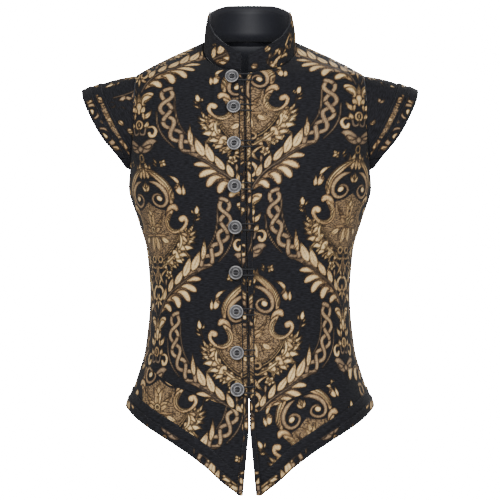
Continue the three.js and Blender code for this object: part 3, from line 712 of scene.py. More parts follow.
def makeMesh(name, points, groups):
    # groups holds faces of one size each, with their material number and whether they are smooth
    mesh = bpy.data.meshes.new(name)
    sizes = np.concatenate([np.full(len(faces), faces.shape[1]) for faces, _, _ in groups])
    corners = np.concatenate([faces.ravel() for faces, _, _ in groups])
    mesh.vertices.add(len(points))
    mesh.vertices.foreach_set("co", (points * 0.001).astype(np.float32).ravel())
    mesh.loops.add(len(corners))
    mesh.loops.foreach_set("vertex_index", corners.astype(np.int32))
    mesh.polygons.add(len(sizes))
    starts = np.concatenate([[0], np.cumsum(sizes)[:-1]])
    mesh.polygons.foreach_set("loop_start", starts.astype(np.int32))
    mesh.polygons.foreach_set("material_index", np.concatenate(
        [np.full(len(faces), number, np.int32) for faces, number, _ in groups]))
    mesh.polygons.foreach_set("use_smooth", np.concatenate(
        [np.full(len(faces), smooth, bool) for faces, _, smooth in groups]))
    mesh.update(calc_edges=True)
    mesh.validate()
    return mesh


def gridFaces(at):
    return np.stack([at[:-1, :-1], at[:-1, 1:], at[1:, 1:], at[1:, :-1]], -1).reshape(-1, 4)


def closedWall(name, outer, wall, facing, fields):
    # A cloth wall: a fine outer face, an inner face of every fourth point, and a rim between them
    every = 4
    rows, columns = outer.shape[:2]
    normal = gridNormals(outer)
    if np.sum(normal * facing(outer)) < 0:
        outer, normal = outer[:, ::-1], -normal[:, ::-1]
        fields = {key: value[:, ::-1] for key, value in fields.items()}
    edge = edgeDistance(outer)
    rolled = vestCut["rolledEdge"]
    drop = 0.32 * wall * (1 - np.clip(edge / rolled, 0, 1)) ** 2
    inner = (outer - normal * wall)[::every, ::every]
    face = outer - normal * drop[..., None]
    r, c = inner.shape[:2]
    points = np.concatenate([face.reshape(-1, 3), inner.reshape(-1, 3)])
    outAt = np.arange(rows * columns).reshape(rows, columns)
    inAt = rows * columns + np.arange(r * c).reshape(r, c)
    rims = []
    for outLine, inLine in ((outAt[0], inAt[0]), (outAt[:, -1], inAt[:, -1]),
                            (outAt[-1][::-1], inAt[-1][::-1]), (outAt[::-1, 0], inAt[::-1, 0])):
        for k in range(len(inLine) - 1):
            span = outLine[k * every:(k + 1) * every + 1]
            rims.append([*span[::-1], inLine[k], inLine[k + 1]])
    groups = [(gridFaces(outAt), 0, True), (gridFaces(inAt)[:, ::-1], 1, True), (np.array(rims), 0, False)]
    mesh = makeMesh(name, points, groups)
    fields = dict(fields, edge=edge)
    for key, value in fields.items():
        full = np.concatenate([value.reshape(-1), value[::every, ::every].reshape(-1)])
        mesh.attributes.new(key, "FLOAT", "POINT").data.foreach_set("value", full.astype(np.float32))
    return mesh


def newObject(name, data):
    obj = bpy.data.objects.new(name, data)
    bpy.context.scene.collection.objects.link(obj)
    return obj


def finished(obj):
    # The object's mesh with its modifiers worked out
    return bpy.data.meshes.new_from_object(obj.evaluated_get(bpy.context.evaluated_depsgraph_get()))


def addPiece(name, mesh, slot, materials, nodes=None):
    for material in materials:
        mesh.materials.append(material)
    obj = newObject(f"{name}_cloth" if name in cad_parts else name, mesh)
    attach(obj, "root")
    if nodes is None:
        nodes = [name]
    if nodes:
        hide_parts(*nodes)
    return obj


# The camera and the studio
studio = {
    "cameraAt": (0, -4.0, -0.324), "lens": 185.8, "floorAt": -0.95, "floorRadius": 2.2,
    "skyStrength": 0.33, "backdrop": 40.0, "aim": (0, 0, -0.32), "floorCorners": 96,
    "floorColour": (0.82, 0.82, 0.82), "floorRough": 0.9,
    "lamps": [
        ((-0.9, -3.1, 1.4), 1.4, 70), ((1.0, -3.0, 0.9), 1.5, 52), ((0, -2.8, -0.9), 1.6, 10),
        ((0.6, 2.6, 1.2), 1.6, 40),
    ],
}


class Socket:
    # A shader value that can be used in sums
    def __init__(self, maker, link):
        self.maker, self.link = maker, link

    def maths(self, operation, *others):
        return self.maker.node("ShaderNodeMath", {"operation": operation},
                               dict(enumerate((self, *others))))[0]

    def __add__(self, other):
        return self.maths("ADD", other)

    def __sub__(self, other):
        return self.maths("SUBTRACT", other)

    def __mul__(self, other):
        return self.maths("MULTIPLY", other)

    def __rsub__(self, other):
        return self.maker.node("ShaderNodeMath", {"operation": "SUBTRACT"}, {0: other, 1: self})[0]

    __radd__, __rmul__ = __add__, __mul__

    def atMost(self, other):
        return self.maths("MINIMUM", other)

    def atLeast(self, other):
        return self.maths("MAXIMUM", other)

    def sine(self):
        return self.maths("SINE")

    def wave(self, pitch):
        # From 0 to 1 and back over each pitch
        return (self * (2 * math.pi / pitch)).sine() * 0.5 + 0.5

    def between(self, low, high):
        # 0 at low and 1 at high, eased; low may be above high
        ends = (low, high, 0.0, 1.0) if low < high else (high, low, 1.0, 0.0)
        return self.maker.node("ShaderNodeMapRange", {"interpolation_type": "SMOOTHSTEP", "clamp": True},
                               dict(enumerate((self, *ends))))[0]


class Finish:
    def __init__(self, name):
        self.material = bpy.data.materials.new(name)
        self.material.use_nodes = True
        self.tree = self.material.node_tree
        self.shader = self.tree.nodes["Principled BSDF"]

    def node(self, kind, settings=None, values=None):
        made = self.tree.nodes.new(kind)
        for key, value in (settings or {}).items():
            if key == "stops":
                ramp = made.color_ramp
                while len(ramp.elements) < len(value):
                    ramp.elements.new(1.0)
                for element, (place, colour) in zip(ramp.elements, value):
                    element.position = place
                    element.color = (*colour, 1)
            else:
                setattr(made, key, value)
        for key, value in (values or {}).items():
            self.put(made.inputs[key], value)
        return [Socket(self, out) for out in made.outputs]

    def put(self, target, value):
        if isinstance(value, Socket):
            self.tree.links.new(value.link, target)
        elif isinstance(value, tuple) and len(value) == 3 and len(target.default_value) == 4:
            target.default_value = (*value, 1)
        else:
            target.default_value = value

    def field(self, name):
        return self.node("ShaderNodeAttribute", {"attribute_name": name})[2]

    def objectAt(self):
        return self.node("ShaderNodeTexCoord")[3]

    def noise(self, scale, detail=2.0, vector=None):
        at = vector or self.objectAt()
        return self.node("ShaderNodeTexNoise", None,
                         {"Vector": at, "Scale": scale, "Detail": detail, "Roughness": 0.5})[0]

    def clothNoise(self, across, up, detail=2.0):
        at = self.node("ShaderNodeCombineXYZ", None, {0: across, 1: up, 2: 0.0})[0]
        return self.noise(1.0, detail, at)

    def mix(self, factor, a, b):
        return self.node("ShaderNodeMix", {"data_type": "RGBA"}, {0: factor, 6: a, 7: b})[2]

    def bump(self, height, distance, strength):
        return self.node("ShaderNodeBump", None,
                         {"Strength": strength, "Distance": distance, "Height": height})[0]

    def shade(self, **values):
        for key, value in values.items():
            self.put(self.shader.inputs[key.replace("_", " ")], value)
        return self.material


def makeLining():
    finish = Finish("liningSateen")
    at = finish.objectAt()
    twill = finish.node("ShaderNodeTexWave", {"wave_type": "BANDS", "bands_direction": "DIAGONAL"},
                        {"Vector": at, "Scale": 420.0, "Distortion": 0.6, "Detail": 1.0})[1]
    cloud = finish.noise(9.0)
    colour = finish.mix(cloud, (0.006, 0.007, 0.012), (0.014, 0.015, 0.023))
    return finish.shade(Base_Color=colour, Roughness=0.5 + 0.14 * cloud, Sheen_Weight=0.25,
                        Sheen_Roughness=0.4, Normal=finish.bump(twill, 0.0001, 0.5))


def makePlain(name, colour, rough):
    finish = Finish(name)
    cloud = finish.noise(60.0)
    return finish.shade(Base_Color=finish.mix(cloud, tuple(0.8 * c for c in colour), colour),
                        Roughness=rough)


clothColours = {
    "ground": (0.0025, 0.0024, 0.0038), "groundLit": (0.02, 0.0205, 0.027),
    "halo": (0.007, 0.004, 0.0025),
    "outline": (0.014, 0.0078, 0.0045), "shade": (0.1, 0.058, 0.032), "tan": (0.36, 0.215, 0.1),
    "gold": (0.72, 0.47, 0.205), "pale": (1.0, 0.74, 0.37), "cool": (0.2, 0.155, 0.118),
    "stippled": (0.36, 0.23, 0.115),
    "ribPitch": 1.5, "threadPitch": 0.95, "twillPitch": 1.1, "stipplePitch": 3.4,
}


def wovenGround(cloth, across, up):
    # Ribbed navy: ribs run round the body and threads cross them
    rib, thread = up.wave(clothColours["ribPitch"]), across.wave(clothColours["threadPitch"])
    slub = cloth.clothNoise(across * 0.13, up * 0.85).between(0.32, 0.72)
    lit = (rib * 0.22 + thread * 0.08 + slub * 0.78 - 0.12).atLeast(0.0).atMost(1.0)
    return cloth.mix(lit, clothColours["ground"], clothColours["groundLit"]), rib * 0.7 + thread * 0.3


def makeBrocade():
    cloth = Finish("brocade")
    distance, line, tone, cool, stipple, across, up = (
        cloth.field(name) for name in ("distance", "line", "tone", "cool", "stipple", "across", "up"))
    ground, relief = wovenGround(cloth, across, up)
    ragged = cloth.clothNoise(across * 0.62, up * 0.8)
    distance = distance + (ragged - 0.5) * 1.9 - 0.12
    line = line + (ragged - 0.5) * 0.7
    ground = cloth.mix(distance.between(0.8, 0.1) * 0.8, ground, clothColours["halo"])
    pitch = 2 * math.pi / clothColours["stipplePitch"]
    dots = ((across * pitch).sine() * (up * pitch).sine()).between(-0.5, 0.5)
    speckle = cloth.clothNoise(across * 0.3, up * 0.55).between(0.42, 0.6)
    speckled = (0.3 * dots + 0.75 * speckle).atMost(1.0) * stipple
    ground = cloth.mix(speckled, ground, clothColours["stippled"])
    # The figure's thread: darker at its outline, and lighter towards the middle of each shape by a painted
    # highlight, as if light falls on the raised weave
    twill = (across + up * 0.6).wave(clothColours["twillPitch"])
    mottle = cloth.clothNoise(across * 0.45, up * 0.45)
    broad = cloth.clothNoise(across * 0.05, up * 0.05, 1.0)
    # The line term is the painted highlight in each shape's middle; the noise terms vary the tone at random
    toneAndHighlight = tone + (mottle - 0.5) * 0.9 + (broad - 0.5) * 0.5 + line.between(0.3, 2.4) * 0.34 - 0.1
    thread = cloth.node("ShaderNodeValToRGB", {"stops": [
        (0.25, clothColours["shade"]), (0.52, clothColours["tan"]), (0.76, clothColours["gold"]),
        (1.0, clothColours["pale"])]}, {0: toneAndHighlight.atLeast(0.0).atMost(1.0)})[0]
    thread = cloth.mix(cool * 0.85, thread, clothColours["cool"])
    thread = cloth.mix(twill * 0.22, thread, clothColours["outline"])
    thread = cloth.mix(line.between(0.95, 0.25) * 0.92, thread, clothColours["outline"])
    mask = distance.between(0.3, -0.35)
    wrinkle = cloth.clothNoise(across * 0.022, up * 0.012, 1.0)
    raised = mask * (0.6 + line.between(0.0, 1.4) * 0.5 + twill * 0.12)
    height = relief * 0.3 * (1 - mask) + raised + wrinkle * 4.5
    return cloth.shade(Base_Color=cloth.mix(mask, ground, thread),
                       Roughness=0.8 - 0.2 * mask + 0.1 * (mottle - 0.5),
                       Sheen_Weight=0.05, Sheen_Roughness=0.5, Specular_IOR_Level=0.2,
                       Normal=cloth.bump(height, 0.0011, 0.8))


def makeNavyRib():
    cloth = Finish("navyRib")
    colour, relief = wovenGround(cloth, cloth.field("across"), cloth.field("up"))
    return cloth.shade(Base_Color=colour, Roughness=0.8, Sheen_Weight=0.05, Sheen_Roughness=0.5,
                       Specular_IOR_Level=0.2, Normal=cloth.bump(relief, 0.0003, 0.6))


lining = makeLining()
brocade = makeBrocade()
navyRib = makeNavyRib()


def makePewter(name, recessShade):
    metal = Finish(name)
    at = metal.objectAt()
    fine, cloud = metal.noise(900.0, 3.0, at), metal.noise(160.0, 3.0, at)
    # The ambient occlusion node darkens the metal where it is hollow: painted shade. The cloud noise adds
    # random tarnish.
    hollow = metal.node("ShaderNodeAmbientOcclusion", {"samples": 8}, {"Distance": 0.0025})[1]
    shadeAndTarnish = (hollow.between(0.98, 0.62) * 0.8 + cloud.between(0.45, 0.75) * 0.3 + recessShade).atMost(1.0)
    colour = metal.mix(shadeAndTarnish, (0.27, 0.265, 0.27), (0.025, 0.025, 0.03))
    return metal.shade(Base_Color=colour, Metallic=0.9 - 0.5 * shadeAndTarnish,
                       Roughness=0.34 + 0.3 * shadeAndTarnish + 0.08 * fine, Normal=metal.bump(fine, 0.00008, 0.5))


def makeCord(name, colour, lit):
    thread = Finish(name)
    at = thread.objectAt()
    fibre, cloud = thread.noise(2600.0, 2.0, at), thread.noise(300.0, 2.0, at)
    return thread.shade(Base_Color=thread.mix(fibre, colour, lit), Roughness=0.66 + 0.2 * cloud,
                        Sheen_Weight=0.2, Sheen_Roughness=0.4, Normal=thread.bump(fibre, 0.00015, 0.6))


pewter = makePewter("pewter", 0.0)
# darkPewter is the same pewter with more painted shade, for the button's recesses
darkPewter = makePewter("darkPewter", 0.62)
cordThread = makeCord("cordThread", (0.006, 0.006, 0.0075), (0.02, 0.02, 0.024))
stitchThread = makeCord("stitchThread", (0.009, 0.009, 0.012), (0.03, 0.03, 0.036))
print("finishes made")


def outOfBody(points):
    return points * np.array([1, 1, 0.0])


def outOfSleeve(points):
    return points - toSide(np.array(sleeveCut["middle"]), math.copysign(1, points[..., 0].mean()))


def outOfCollar(points):
    return points * np.array([1, 1, 0]) + np.array([0, collarCut["middleY"], 0])


# What a piece of each kind is made of: thickness, slot, outside and inside
clothKinds = {
    "panel": (vestCut["wall"], "brocade", brocade, lining),
    "band": (vestCut["bandWall"], "brocade", brocade, brocade),
    "guard": (vestCut["bandWall"], "navy_rib", navyRib, navyRib),
    "lining": (vestCut["liningWall"], "lining", lining, lining),
}


def addCloth(name, kind, points, fields, facing=outOfBody):
    wall, slot, outside, inside = clothKinds[kind]
    addPiece(name, closedWall(name, points, wall, facing, fields), slot, [outside, inside])


def spread(edges, columns, rows, at, side=1, reach=(0, 1)):
    # Points of a piece between its four edges; reach is the part of its height that is filled
    angle, z = coons(edges, np.linspace(0, 1, columns + 1), lerp(*reach, np.linspace(0, 1, rows + 1)))
    return toSide(offBody(angle, z, at), side), angle, z


def bothHalves(points, angle, z):
    return (np.concatenate([toSide(points[:, :0:-1], -1), points], 1),
            np.concatenate([angle[:, :0:-1], angle], 1), np.concatenate([z[:, :0:-1], z], 1))


def acrossBack(points, angle, z):
    return (arcRound(180.0, z) - arcRound(angle, z)) * np.sign(points[..., 0])


def inRow(place, row):
    # Negative inside a row of the figure, given as its middle and half width
    return np.abs(place - row[0]) - row[1]


def clothFields(across, up, drawn, keep=None):
    # keep is negative where the figure may show, in millimetres
    if keep is not None:
        drawn = dict(drawn, distance=np.maximum(drawn["distance"], keep / damask["unit"]))
        drawn["line"] = np.minimum(drawn["line"], np.abs(keep) / damask["unit"])
        drawn["stipple"] = drawn["stipple"] * (keep < 0)
    return dict(drawn, across=across, up=up)


for wearer, side in wearerSides:
    points, angle, z = spread(frontEdges(side), 200, 360, 0.0, side)
    across = arcRound(angle, z) * side
    addCloth(f"front_{wearer}", "panel", points,
             clothFields(across, clothHeight(z), frontDamask(wearer, across, z)))
    points, angle, z = spread(skirtEdges(side), 200, 72, 0.0, side)
    across = arcRound(angle, z) * side
    addCloth(f"skirt_{wearer}", "panel", points,
             clothFields(across, z, turnedDamask(across, z, skirtLie[wearer])))
    for name, layer, rows in trimTiers:
        points, angle, z = spread(hemEdges(side, hemCut[name]), 240, rows, tierAt(layer), side)
        across = arcRound(angle, z) * side
        climb = np.linspace(0, 1, rows + 1)[:, None] * hemCut[name] + 0 * angle
        addCloth(f"hem_{name}_{wearer}", name, points,
                 clothFields(across, z, turnedDamask(across, z, clothLie["hem"], side),
                             inRow(climb, hemCut["figureRow"])))
print("fronts, skirts and hem trim made")

points, angle, z = bothHalves(*spread(backEdges(), 132, 264, 0.0))
across, up = acrossBack(points, angle, z), clothHeight(z)
addCloth("back", "panel", points, clothFields(across, up, turnedDamask(across, up, clothLie["back"])))
for name, layer, rows in trimTiers:
    points, angle, z = bothHalves(*spread(backHemEdges(hemCut[name]), 120, rows, tierAt(layer)))
    across = acrossBack(points, angle, z)
    addCloth(f"hem_{name}_back", name, points,
             clothFields(across, z, turnedDamask(across, z, clothLie["backHem"]),
                         inRow(z - hemSideZ, hemCut["figureRow"])))

# The back's lining stops short of the neck and the hem
half = spread(backEdges(), 60, 100, -vestCut["wall"] - vestCut["liningGap"], 1, vestCut["liningReach"])
addCloth("back_lining", "lining", bothHalves(*half)[0], {})

# Narrow strips along the closing edges
for wearer, side in wearerSides:
    z = np.linspace(vestCut["frontHem"][1][1] + 4, neckFoot - 1.5, 401)[:, None]
    x = closureEdge(side, z) + np.linspace(0.2, vestCut["edgeStrip"], 9)[None, :]
    z = z + 0 * x
    drawn = turnedDamask(x * side, z, clothLie["strip"], side)
    addCloth(f"front_strip_{wearer}", "band", toSide(offBody(angleAcross(x, z), z, tierAt(0)), side),
             clothFields(x * side, z, drawn, inRow(x - closureEdge(side, z), stripRow)))


def sleevePoints(turn, out):
    # turn runs over the shoulder from front to back, out runs from the armhole to the free edge
    climb = lerp(sleeveCut["lowAngle"], 90.0, 1 - np.abs(1 - 2 * turn))
    front, back = armholePoint(True, climb), armholePoint(False, climb)
    angle = np.where(turn < 0.5, front[0], back[0])
    root = body(angle, np.where(turn < 0.5, front[1], back[1]))
    edge = np.stack([readTable(sleeveCut["edge"], turn, column) for column in (1, 2, 3)], -1)
    seam = edge - root
    root = root + seam / np.linalg.norm(seam, axis=-1, keepdims=True) * sleeveCut["seamGap"]
    points = lerp(root, edge, out[..., None])
    points[..., 2] += sleeveCut["lift"] * np.sin(np.pi * out) * np.sin(np.pi * turn)
    return points


def sleeveGrid(firstTurn, width, at, columns, rows, side):
    # Points of the sleeve or of a tier of its trim, with the places across it and up from its edge
    turn = np.linspace(firstTurn, 1 - firstTurn, columns + 1)[None, :]
    whole = np.linalg.norm(sleevePoints(turn, 0 * turn) - sleevePoints(turn, 0 * turn + 1), axis=-1)
    start = 0 * turn
    if width is not None:
        start = 1 - width * np.minimum(1, (whole - 2.5) / sleeveCut["guard"]) / whole
    out = lerp(start, 1.0, np.linspace(0, 1, rows + 1)[:, None])
    turn = turn + 0 * out
    points = sleevePoints(turn, out)
    normal = gridNormals(points)
    if normal[rows // 2, columns // 2, 2] < 0:
        normal = -normal
    return toSide(points + normal * at, side), (turn - 0.5) * sleeveCut["around"] * side, (out - 1) * whole


for wearer, side in wearerSides:
    points, across, up = sleeveGrid(0.0, None, 0.0, 280, 48, side)
    patches = [np.hypot((np.abs(across) - x) / wide, up - y) - size
               for x, y, wide, size in sleeveCut["patches"][wearer]]
    drawn = turnedDamask(across, up, clothLie["sleeve"], side)
    addCloth(f"sleeve_{wearer}", "panel", points,
             clothFields(across, up, drawn, np.minimum.reduce(patches)), outOfSleeve)
    for name, layer, rows in trimTiers:
        points, across, up = sleeveGrid(sleeveCut["firstTurn"], sleeveCut[name],
                                        tierAt(layer, sleeveCut["gap"]), 280, rows, side)
        drawn = turnedDamask(across, up, clothLie["sleeveTrim"], side)
        addCloth(f"sleeve_{name}_{wearer}", "band", points,
                 clothFields(across, up, drawn, inRow(up, sleeveCut[f"{name}Row"])), outOfSleeve)
print("sleeves made")


def neckLine(side, along):
    # Foot of the collar, from the closing edge to the middle of the back
    front = topEdge(True, closureAngle(side, neckFoot))(np.clip(along, 0, 0.5) * 0.9999)
    back = topEdge(False)((1 - np.clip(along, 0.5, 1)) * 0.9999)
    return toSide(np.where((along <= 0.5)[:, None], body(*front), body(*back)), side)


def collarGrid(at, trimTop, columns, rows, foot=0.0):
    # Points of the collar, with the places round it and up from the neckline
    along = np.linspace(0, 1, columns // 2 + 1)
    bases = np.concatenate([neckLine(-1, along), neckLine(1, along)[-2::-1]])
    along = np.concatenate([along, along[-2::-1]])
    tangent = np.gradient(bases, axis=0)
    for _ in range(6):
        tangent[1:-1] = (tangent[:-2] + tangent[1:-1] * 2 + tangent[2:]) / 4
    outward = np.stack([-tangent[:, 1], tangent[:, 0], 0 * tangent[:, 0]], -1)
    outward /= np.linalg.norm(outward, axis=1, keepdims=True)
    outward *= np.sign(np.sum(outward * outOfCollar(bases), axis=1))[:, None]
    height = readTable(collarCut["shape"], along, 1) - trimTop
    lean = readTable(collarCut["shape"], along, 2)
    rise = np.linspace(foot, 1, rows + 1)[:, None]
    points = bases[None] + outward[None] * (at - lean * rise * np.abs(rise))[..., None]
    points[..., 2] += 0.03 + rise * height
    run = runAlong(bases)
    return points, (run - run[-1] / 2)[None] + 0 * rise, rise * height


points, across, up = collarGrid(0.0, 0.0, 304, 32)
half = across.max()
# The figure shows in rounds near the collar's ends and in one broad part behind the neck
patches = [np.hypot((across + half - 38) / 1.3, up - 17) - 15,
           np.hypot((across - half + 48) / 1.4, up - 14) - 14,
           np.hypot(across - half + 76, up - 30) - 12, np.hypot(across - half + 31, up - 31) - 5,
           np.hypot(across - half + 10, up - 8) - 5, np.abs(across) - (half - 92)]
drawn = turnedDamask(across, up, clothLie["collar"])
addCloth("collar", "panel", points, clothFields(across, up, drawn, np.minimum.reduce(patches)), outOfCollar)
points, _, _ = collarGrid(-vestCut["wall"] - vestCut["layerGap"], 0.5, 152, 16, -0.09)
addCloth("collar_lining", "lining", points, {}, outOfCollar)
print("collar made")

# Buttons: pewter with a raised rim and four sewing holes, on a wound thread shank
buttonCut = {
    "profile": [
        (0, 4.7), (9.4, 4.6), (10.4, 5.0), (10.8, 5.9), (10.7, 6.8), (10.2, 7.5), (9.5, 7.8), (8.8, 7.65),
        (8.3, 7.1), (7.9, 6.75), (7.2, 6.65), (5.6, 6.65), (5.2, 6.95), (4.8, 7.0), (4.4, 6.7),
        (4.0, 6.45), (0, 6.4),
    ],
    "holes": (2.0, 1.15), "fromClosure": 16.5, "shank": 2.2, "thread": 0.36, "threadSpread": 0.38,
    "drill": (3.0, 5.6, 9.0),
    "heights": [-63, -110, -165, -228, -289, -357, -417, -479, -534],
}
loopCut = {"radius": 1.15, "spread": 4.6, "inset": 10.5, "clearance": 0.8, "lift": 3.15,
           "twist": 2.6, "groove": 0.26}


def roundFaces(at):
    ahead = np.roll(at, -1, axis=1)
    return np.stack([at[:-1], ahead[:-1], ahead[1:], at[1:]], -1).reshape(-1, 4)


def lathe(profile, segments):
    # A closed turned shape, its two poles joined by fans
    turn = np.linspace(0, 2 * math.pi, segments + 1)[:-1]
    rings = [(r, h) for r, h in profile if r > 0]
    points = [[r * math.cos(a), r * math.sin(a), h] for r, h in rings for a in turn]
    points += [[0, 0, profile[0][1]], [0, 0, profile[-1][1]]]
    at = np.arange(len(rings) * segments).reshape(len(rings), segments)
    ahead = np.roll(at, -1, axis=1)
    foot, tip = len(points) - 2, len(points) - 1
    fans = np.concatenate([np.stack([at[0] * 0 + foot, ahead[0], at[0]], 1),
                           np.stack([at[-1] * 0 + tip, at[-1], ahead[-1]], 1)])
    return np.array(points, float), [roundFaces(at), fans]


def tube(path, radius, sides, twist=0.0, groove=0.0):
    # A closed cord along a path; twist is the length of one strand's turn
    path = np.array(path, float)
    ahead = np.gradient(path, axis=0)
    ahead /= np.linalg.norm(ahead, axis=1)[:, None]
    first = np.cross(ahead[0], [0.3, 0.2, 1.0])
    frames = [first / np.linalg.norm(first)]
    for direction in ahead[1:]:
        side = frames[-1] - direction * np.dot(frames[-1], direction)
        frames.append(side / np.linalg.norm(side))
    frames = np.array(frames)
    other = np.cross(ahead, frames)
    turn = np.linspace(0, 2 * math.pi, sides + 1)[:-1][None]
    size = np.full((len(path), sides), float(radius))
    if twist:
        size *= 1 - groove * (1 - np.abs(np.cos(turn - math.pi * runAlong(path)[:, None] / twist)))
    rim = frames[:, None] * np.cos(turn)[..., None] + other[:, None] * np.sin(turn)[..., None]
    points = path[:, None] + rim * size[..., None]
    at = np.arange(len(path) * sides).reshape(len(path), sides)
    return points.reshape(-1, 3), [roundFaces(at), at[0][::-1][None], at[-1][None]]


def drilledButton():
    # The turned button with its four holes cut through
    points, groups = lathe(buttonCut["profile"], 64)
    turned = makeMesh("turnedButton", points * 1000, [(g, 0, True) for g in groups])
    blank = newObject("turnedButton", turned)
    away, radius = buttonCut["holes"]
    low, middle, high = buttonCut["drill"]
    points, groups = lathe([(0, low), (radius, low), (radius, middle), (radius, high), (0, high)], 16)
    places = [(1, 1), (1, -1), (-1, 1), (-1, -1)]
    drills = newObject("drills", makeMesh(
        "drills", np.concatenate([points + np.array([x * away, y * away, 0]) for x, y in places]) * 1000,
        [(np.concatenate([g + k * len(points) for k in range(4)]), 0, False) for g in groups]))
    cut = blank.modifiers.new("holes", "BOOLEAN")
    cut.operation, cut.object, cut.solver = "DIFFERENCE", drills, "EXACT"
    done = finished(blank)
    points = np.zeros(len(done.vertices) * 3)
    done.vertices.foreach_get("co", points)
    faces = [list(face.vertices) for face in done.polygons]
    for obj in (blank, drills):
        bpy.data.objects.remove(obj)
    return points.reshape(-1, 3), faces


def frameOnFront(side, angle, z):
    # A place on the front and its three directions, the last one outwards
    angle, z = np.array(angle), np.array(float(z))
    normal = toSide(bodyNormal(angle, z), side)
    right = np.cross([0, 0, 1.0], normal)
    right /= np.linalg.norm(right)
    return toSide(body(angle, z), side), np.stack([right, np.cross(normal, right), normal])


def metalAt(middle):
    # 0 for the rubbed rims and the back, 2 for the recesses, which get painted shade
    out = np.hypot(middle[0], middle[1])
    return 0 if out > 8.4 or middle[2] < 5.2 or 4.3 < out < 5.2 else 2


def buttonThreads():
    # The wound shank, and two doubled stitches through the holes
    winding = [(buttonCut["shank"] + 0.22 * math.sin(k * math.pi / 2), 0.5 + k * 0.21) for k in range(21)]
    threads = [lathe([(0, 0.5)] + winding + [(0, 4.75)], 20)]
    away = buttonCut["holes"][0]
    for y in (away, -away):
        for shift in (-buttonCut["threadSpread"], buttonCut["threadSpread"]):
            arch = [(-away - 0.2, 5.2), (-away + 0.1, 6.55), (0, 6.95), (away - 0.1, 6.55),
                    (away + 0.2, 5.2)]
            path = smoothPath([(x, y + shift, height) for x, height in arch], 4)
            threads.append(tube(path, buttonCut["thread"], 8))
    return threads


drilledPoints, drilledFaces = drilledButton()
facesBySize = {}
for face in drilledFaces:
    facesBySize.setdefault((len(face), metalAt(drilledPoints[face].mean(axis=0))), []).append(face)
for number, z in enumerate(buttonCut["heights"], 1):
    angle = float(angleAcross(closureEdge(-1, z) + buttonCut["fromClosure"], z))
    at, axes = frameOnFront(-1, angle, z)
    parts, count = [drilledPoints], len(drilledPoints)
    groups = [(np.array(faces), pewterKind, True) for (_, pewterKind), faces in facesBySize.items()]
    for points, faceSets in buttonThreads():
        parts.append(points)
        groups += [(faces + count, 1, True) for faces in faceSets]
        count += len(points)
    mesh = makeMesh(f"button_{number}", at + np.concatenate(parts) @ axes, groups)
    addPiece(f"button_{number}", mesh, "pewter", [pewter, cordThread, darkPewter])

# Cord loops, each doubled round its button's shank
for number, z in enumerate(buttonCut["heights"], 1):
    reach = buttonCut["shank"] + 0.2 + loopCut["radius"] + loopCut["clearance"]
    shankX = float(closureEdge(-1, z)) + buttonCut["fromClosure"]
    rootX = float(closureEdge(1, z)) + loopCut["inset"]
    arm, half = rootX * 0.2 - shankX * 0.35, loopCut["spread"]
    bight = [(-shankX + reach * math.cos(math.radians(a)), reach * math.sin(math.radians(a)))
             for a in (70, 125, 180, 235, 290)]
    plan = smoothPath([(rootX, half), (arm, half), *bight, (arm, -half), (rootX, -half)], 12)
    angle = angleAcross(np.abs(plan[:, 0]), z + plan[:, 1])
    path = offBody(angle, z + plan[:, 1], loopCut["lift"])
    path[:, 0] = np.copysign(path[:, 0], plan[:, 0])
    points, faceSets = tube(path, loopCut["radius"], 12, loopCut["twist"], loopCut["groove"])
    mesh = makeMesh(f"loop_{number}", points, [(faces, 0, True) for faces in faceSets])
    addPiece(f"loop_{number}", mesh, "cord", [cordThread])
print("buttons and loops made")


# Topstitching: rows of short stitches laid along paths over the cloth
stitchRun = {"Pitch": 3.1, "Stitch Length": 2.3, "Thread Radius": 0.24, "above": 0.1, "fromEdge": 1.4}


def stitchTree(material):
    # A bead stretched along each step of a path
    tree = bpy.data.node_groups.new("topstitch", "GeometryNodeTree")
    tree.interface.new_socket("Path", in_out="INPUT", socket_type="NodeSocketGeometry")
    for name in ("Pitch", "Stitch Length", "Thread Radius"):
        tree.interface.new_socket(name, in_out="INPUT", socket_type="NodeSocketFloat")
    tree.interface.new_socket("Stitches", in_out="OUTPUT", socket_type="NodeSocketGeometry")
    made = {name: tree.nodes.new(kind) for name, kind in (
        ("given", "NodeGroupInput"), ("result", "NodeGroupOutput"), ("curve", "GeometryNodeMeshToCurve"),
        ("even", "GeometryNodeResampleCurve"), ("bead", "GeometryNodeMeshUVSphere"),
        ("place", "GeometryNodeInstanceOnPoints"), ("tangent", "GeometryNodeInputTangent"),
        ("align", "FunctionNodeAlignEulerToVector"), ("size", "ShaderNodeCombineXYZ"),
        ("half", "ShaderNodeMath"), ("real", "GeometryNodeRealizeInstances"),
        ("paint", "GeometryNodeSetMaterial"))}
    made["even"].mode, made["align"].axis, made["half"].operation = "LENGTH", "Z", "MULTIPLY"
    for name, key, value in (("bead", "Segments", 8), ("bead", "Rings", 5), ("bead", "Radius", 1.0),
                             ("half", 1, 0.5), ("paint", "Material", material)):
        made[name].inputs[key].default_value = value
    for start, out, end, into in (
            ("given", "Path", "curve", "Mesh"), ("curve", "Curve", "even", "Curve"),
            ("given", "Pitch", "even", "Length"), ("even", "Curve", "place", "Points"),
            ("bead", "Mesh", "place", "Instance"), ("tangent", 0, "align", "Vector"),
            ("align", "Rotation", "place", "Rotation"), ("given", "Thread Radius", "size", 0),
            ("given", "Thread Radius", "size", 1), ("given", "Stitch Length", "half", 0),
            ("half", 0, "size", 2), ("size", 0, "place", "Scale"),
            ("place", "Instances", "real", "Geometry"), ("real", "Geometry", "paint", "Geometry"),
            ("paint", "Geometry", "result", "Stitches")):
        tree.links.new(made[start].outputs[out], made[end].inputs[into])
    return tree


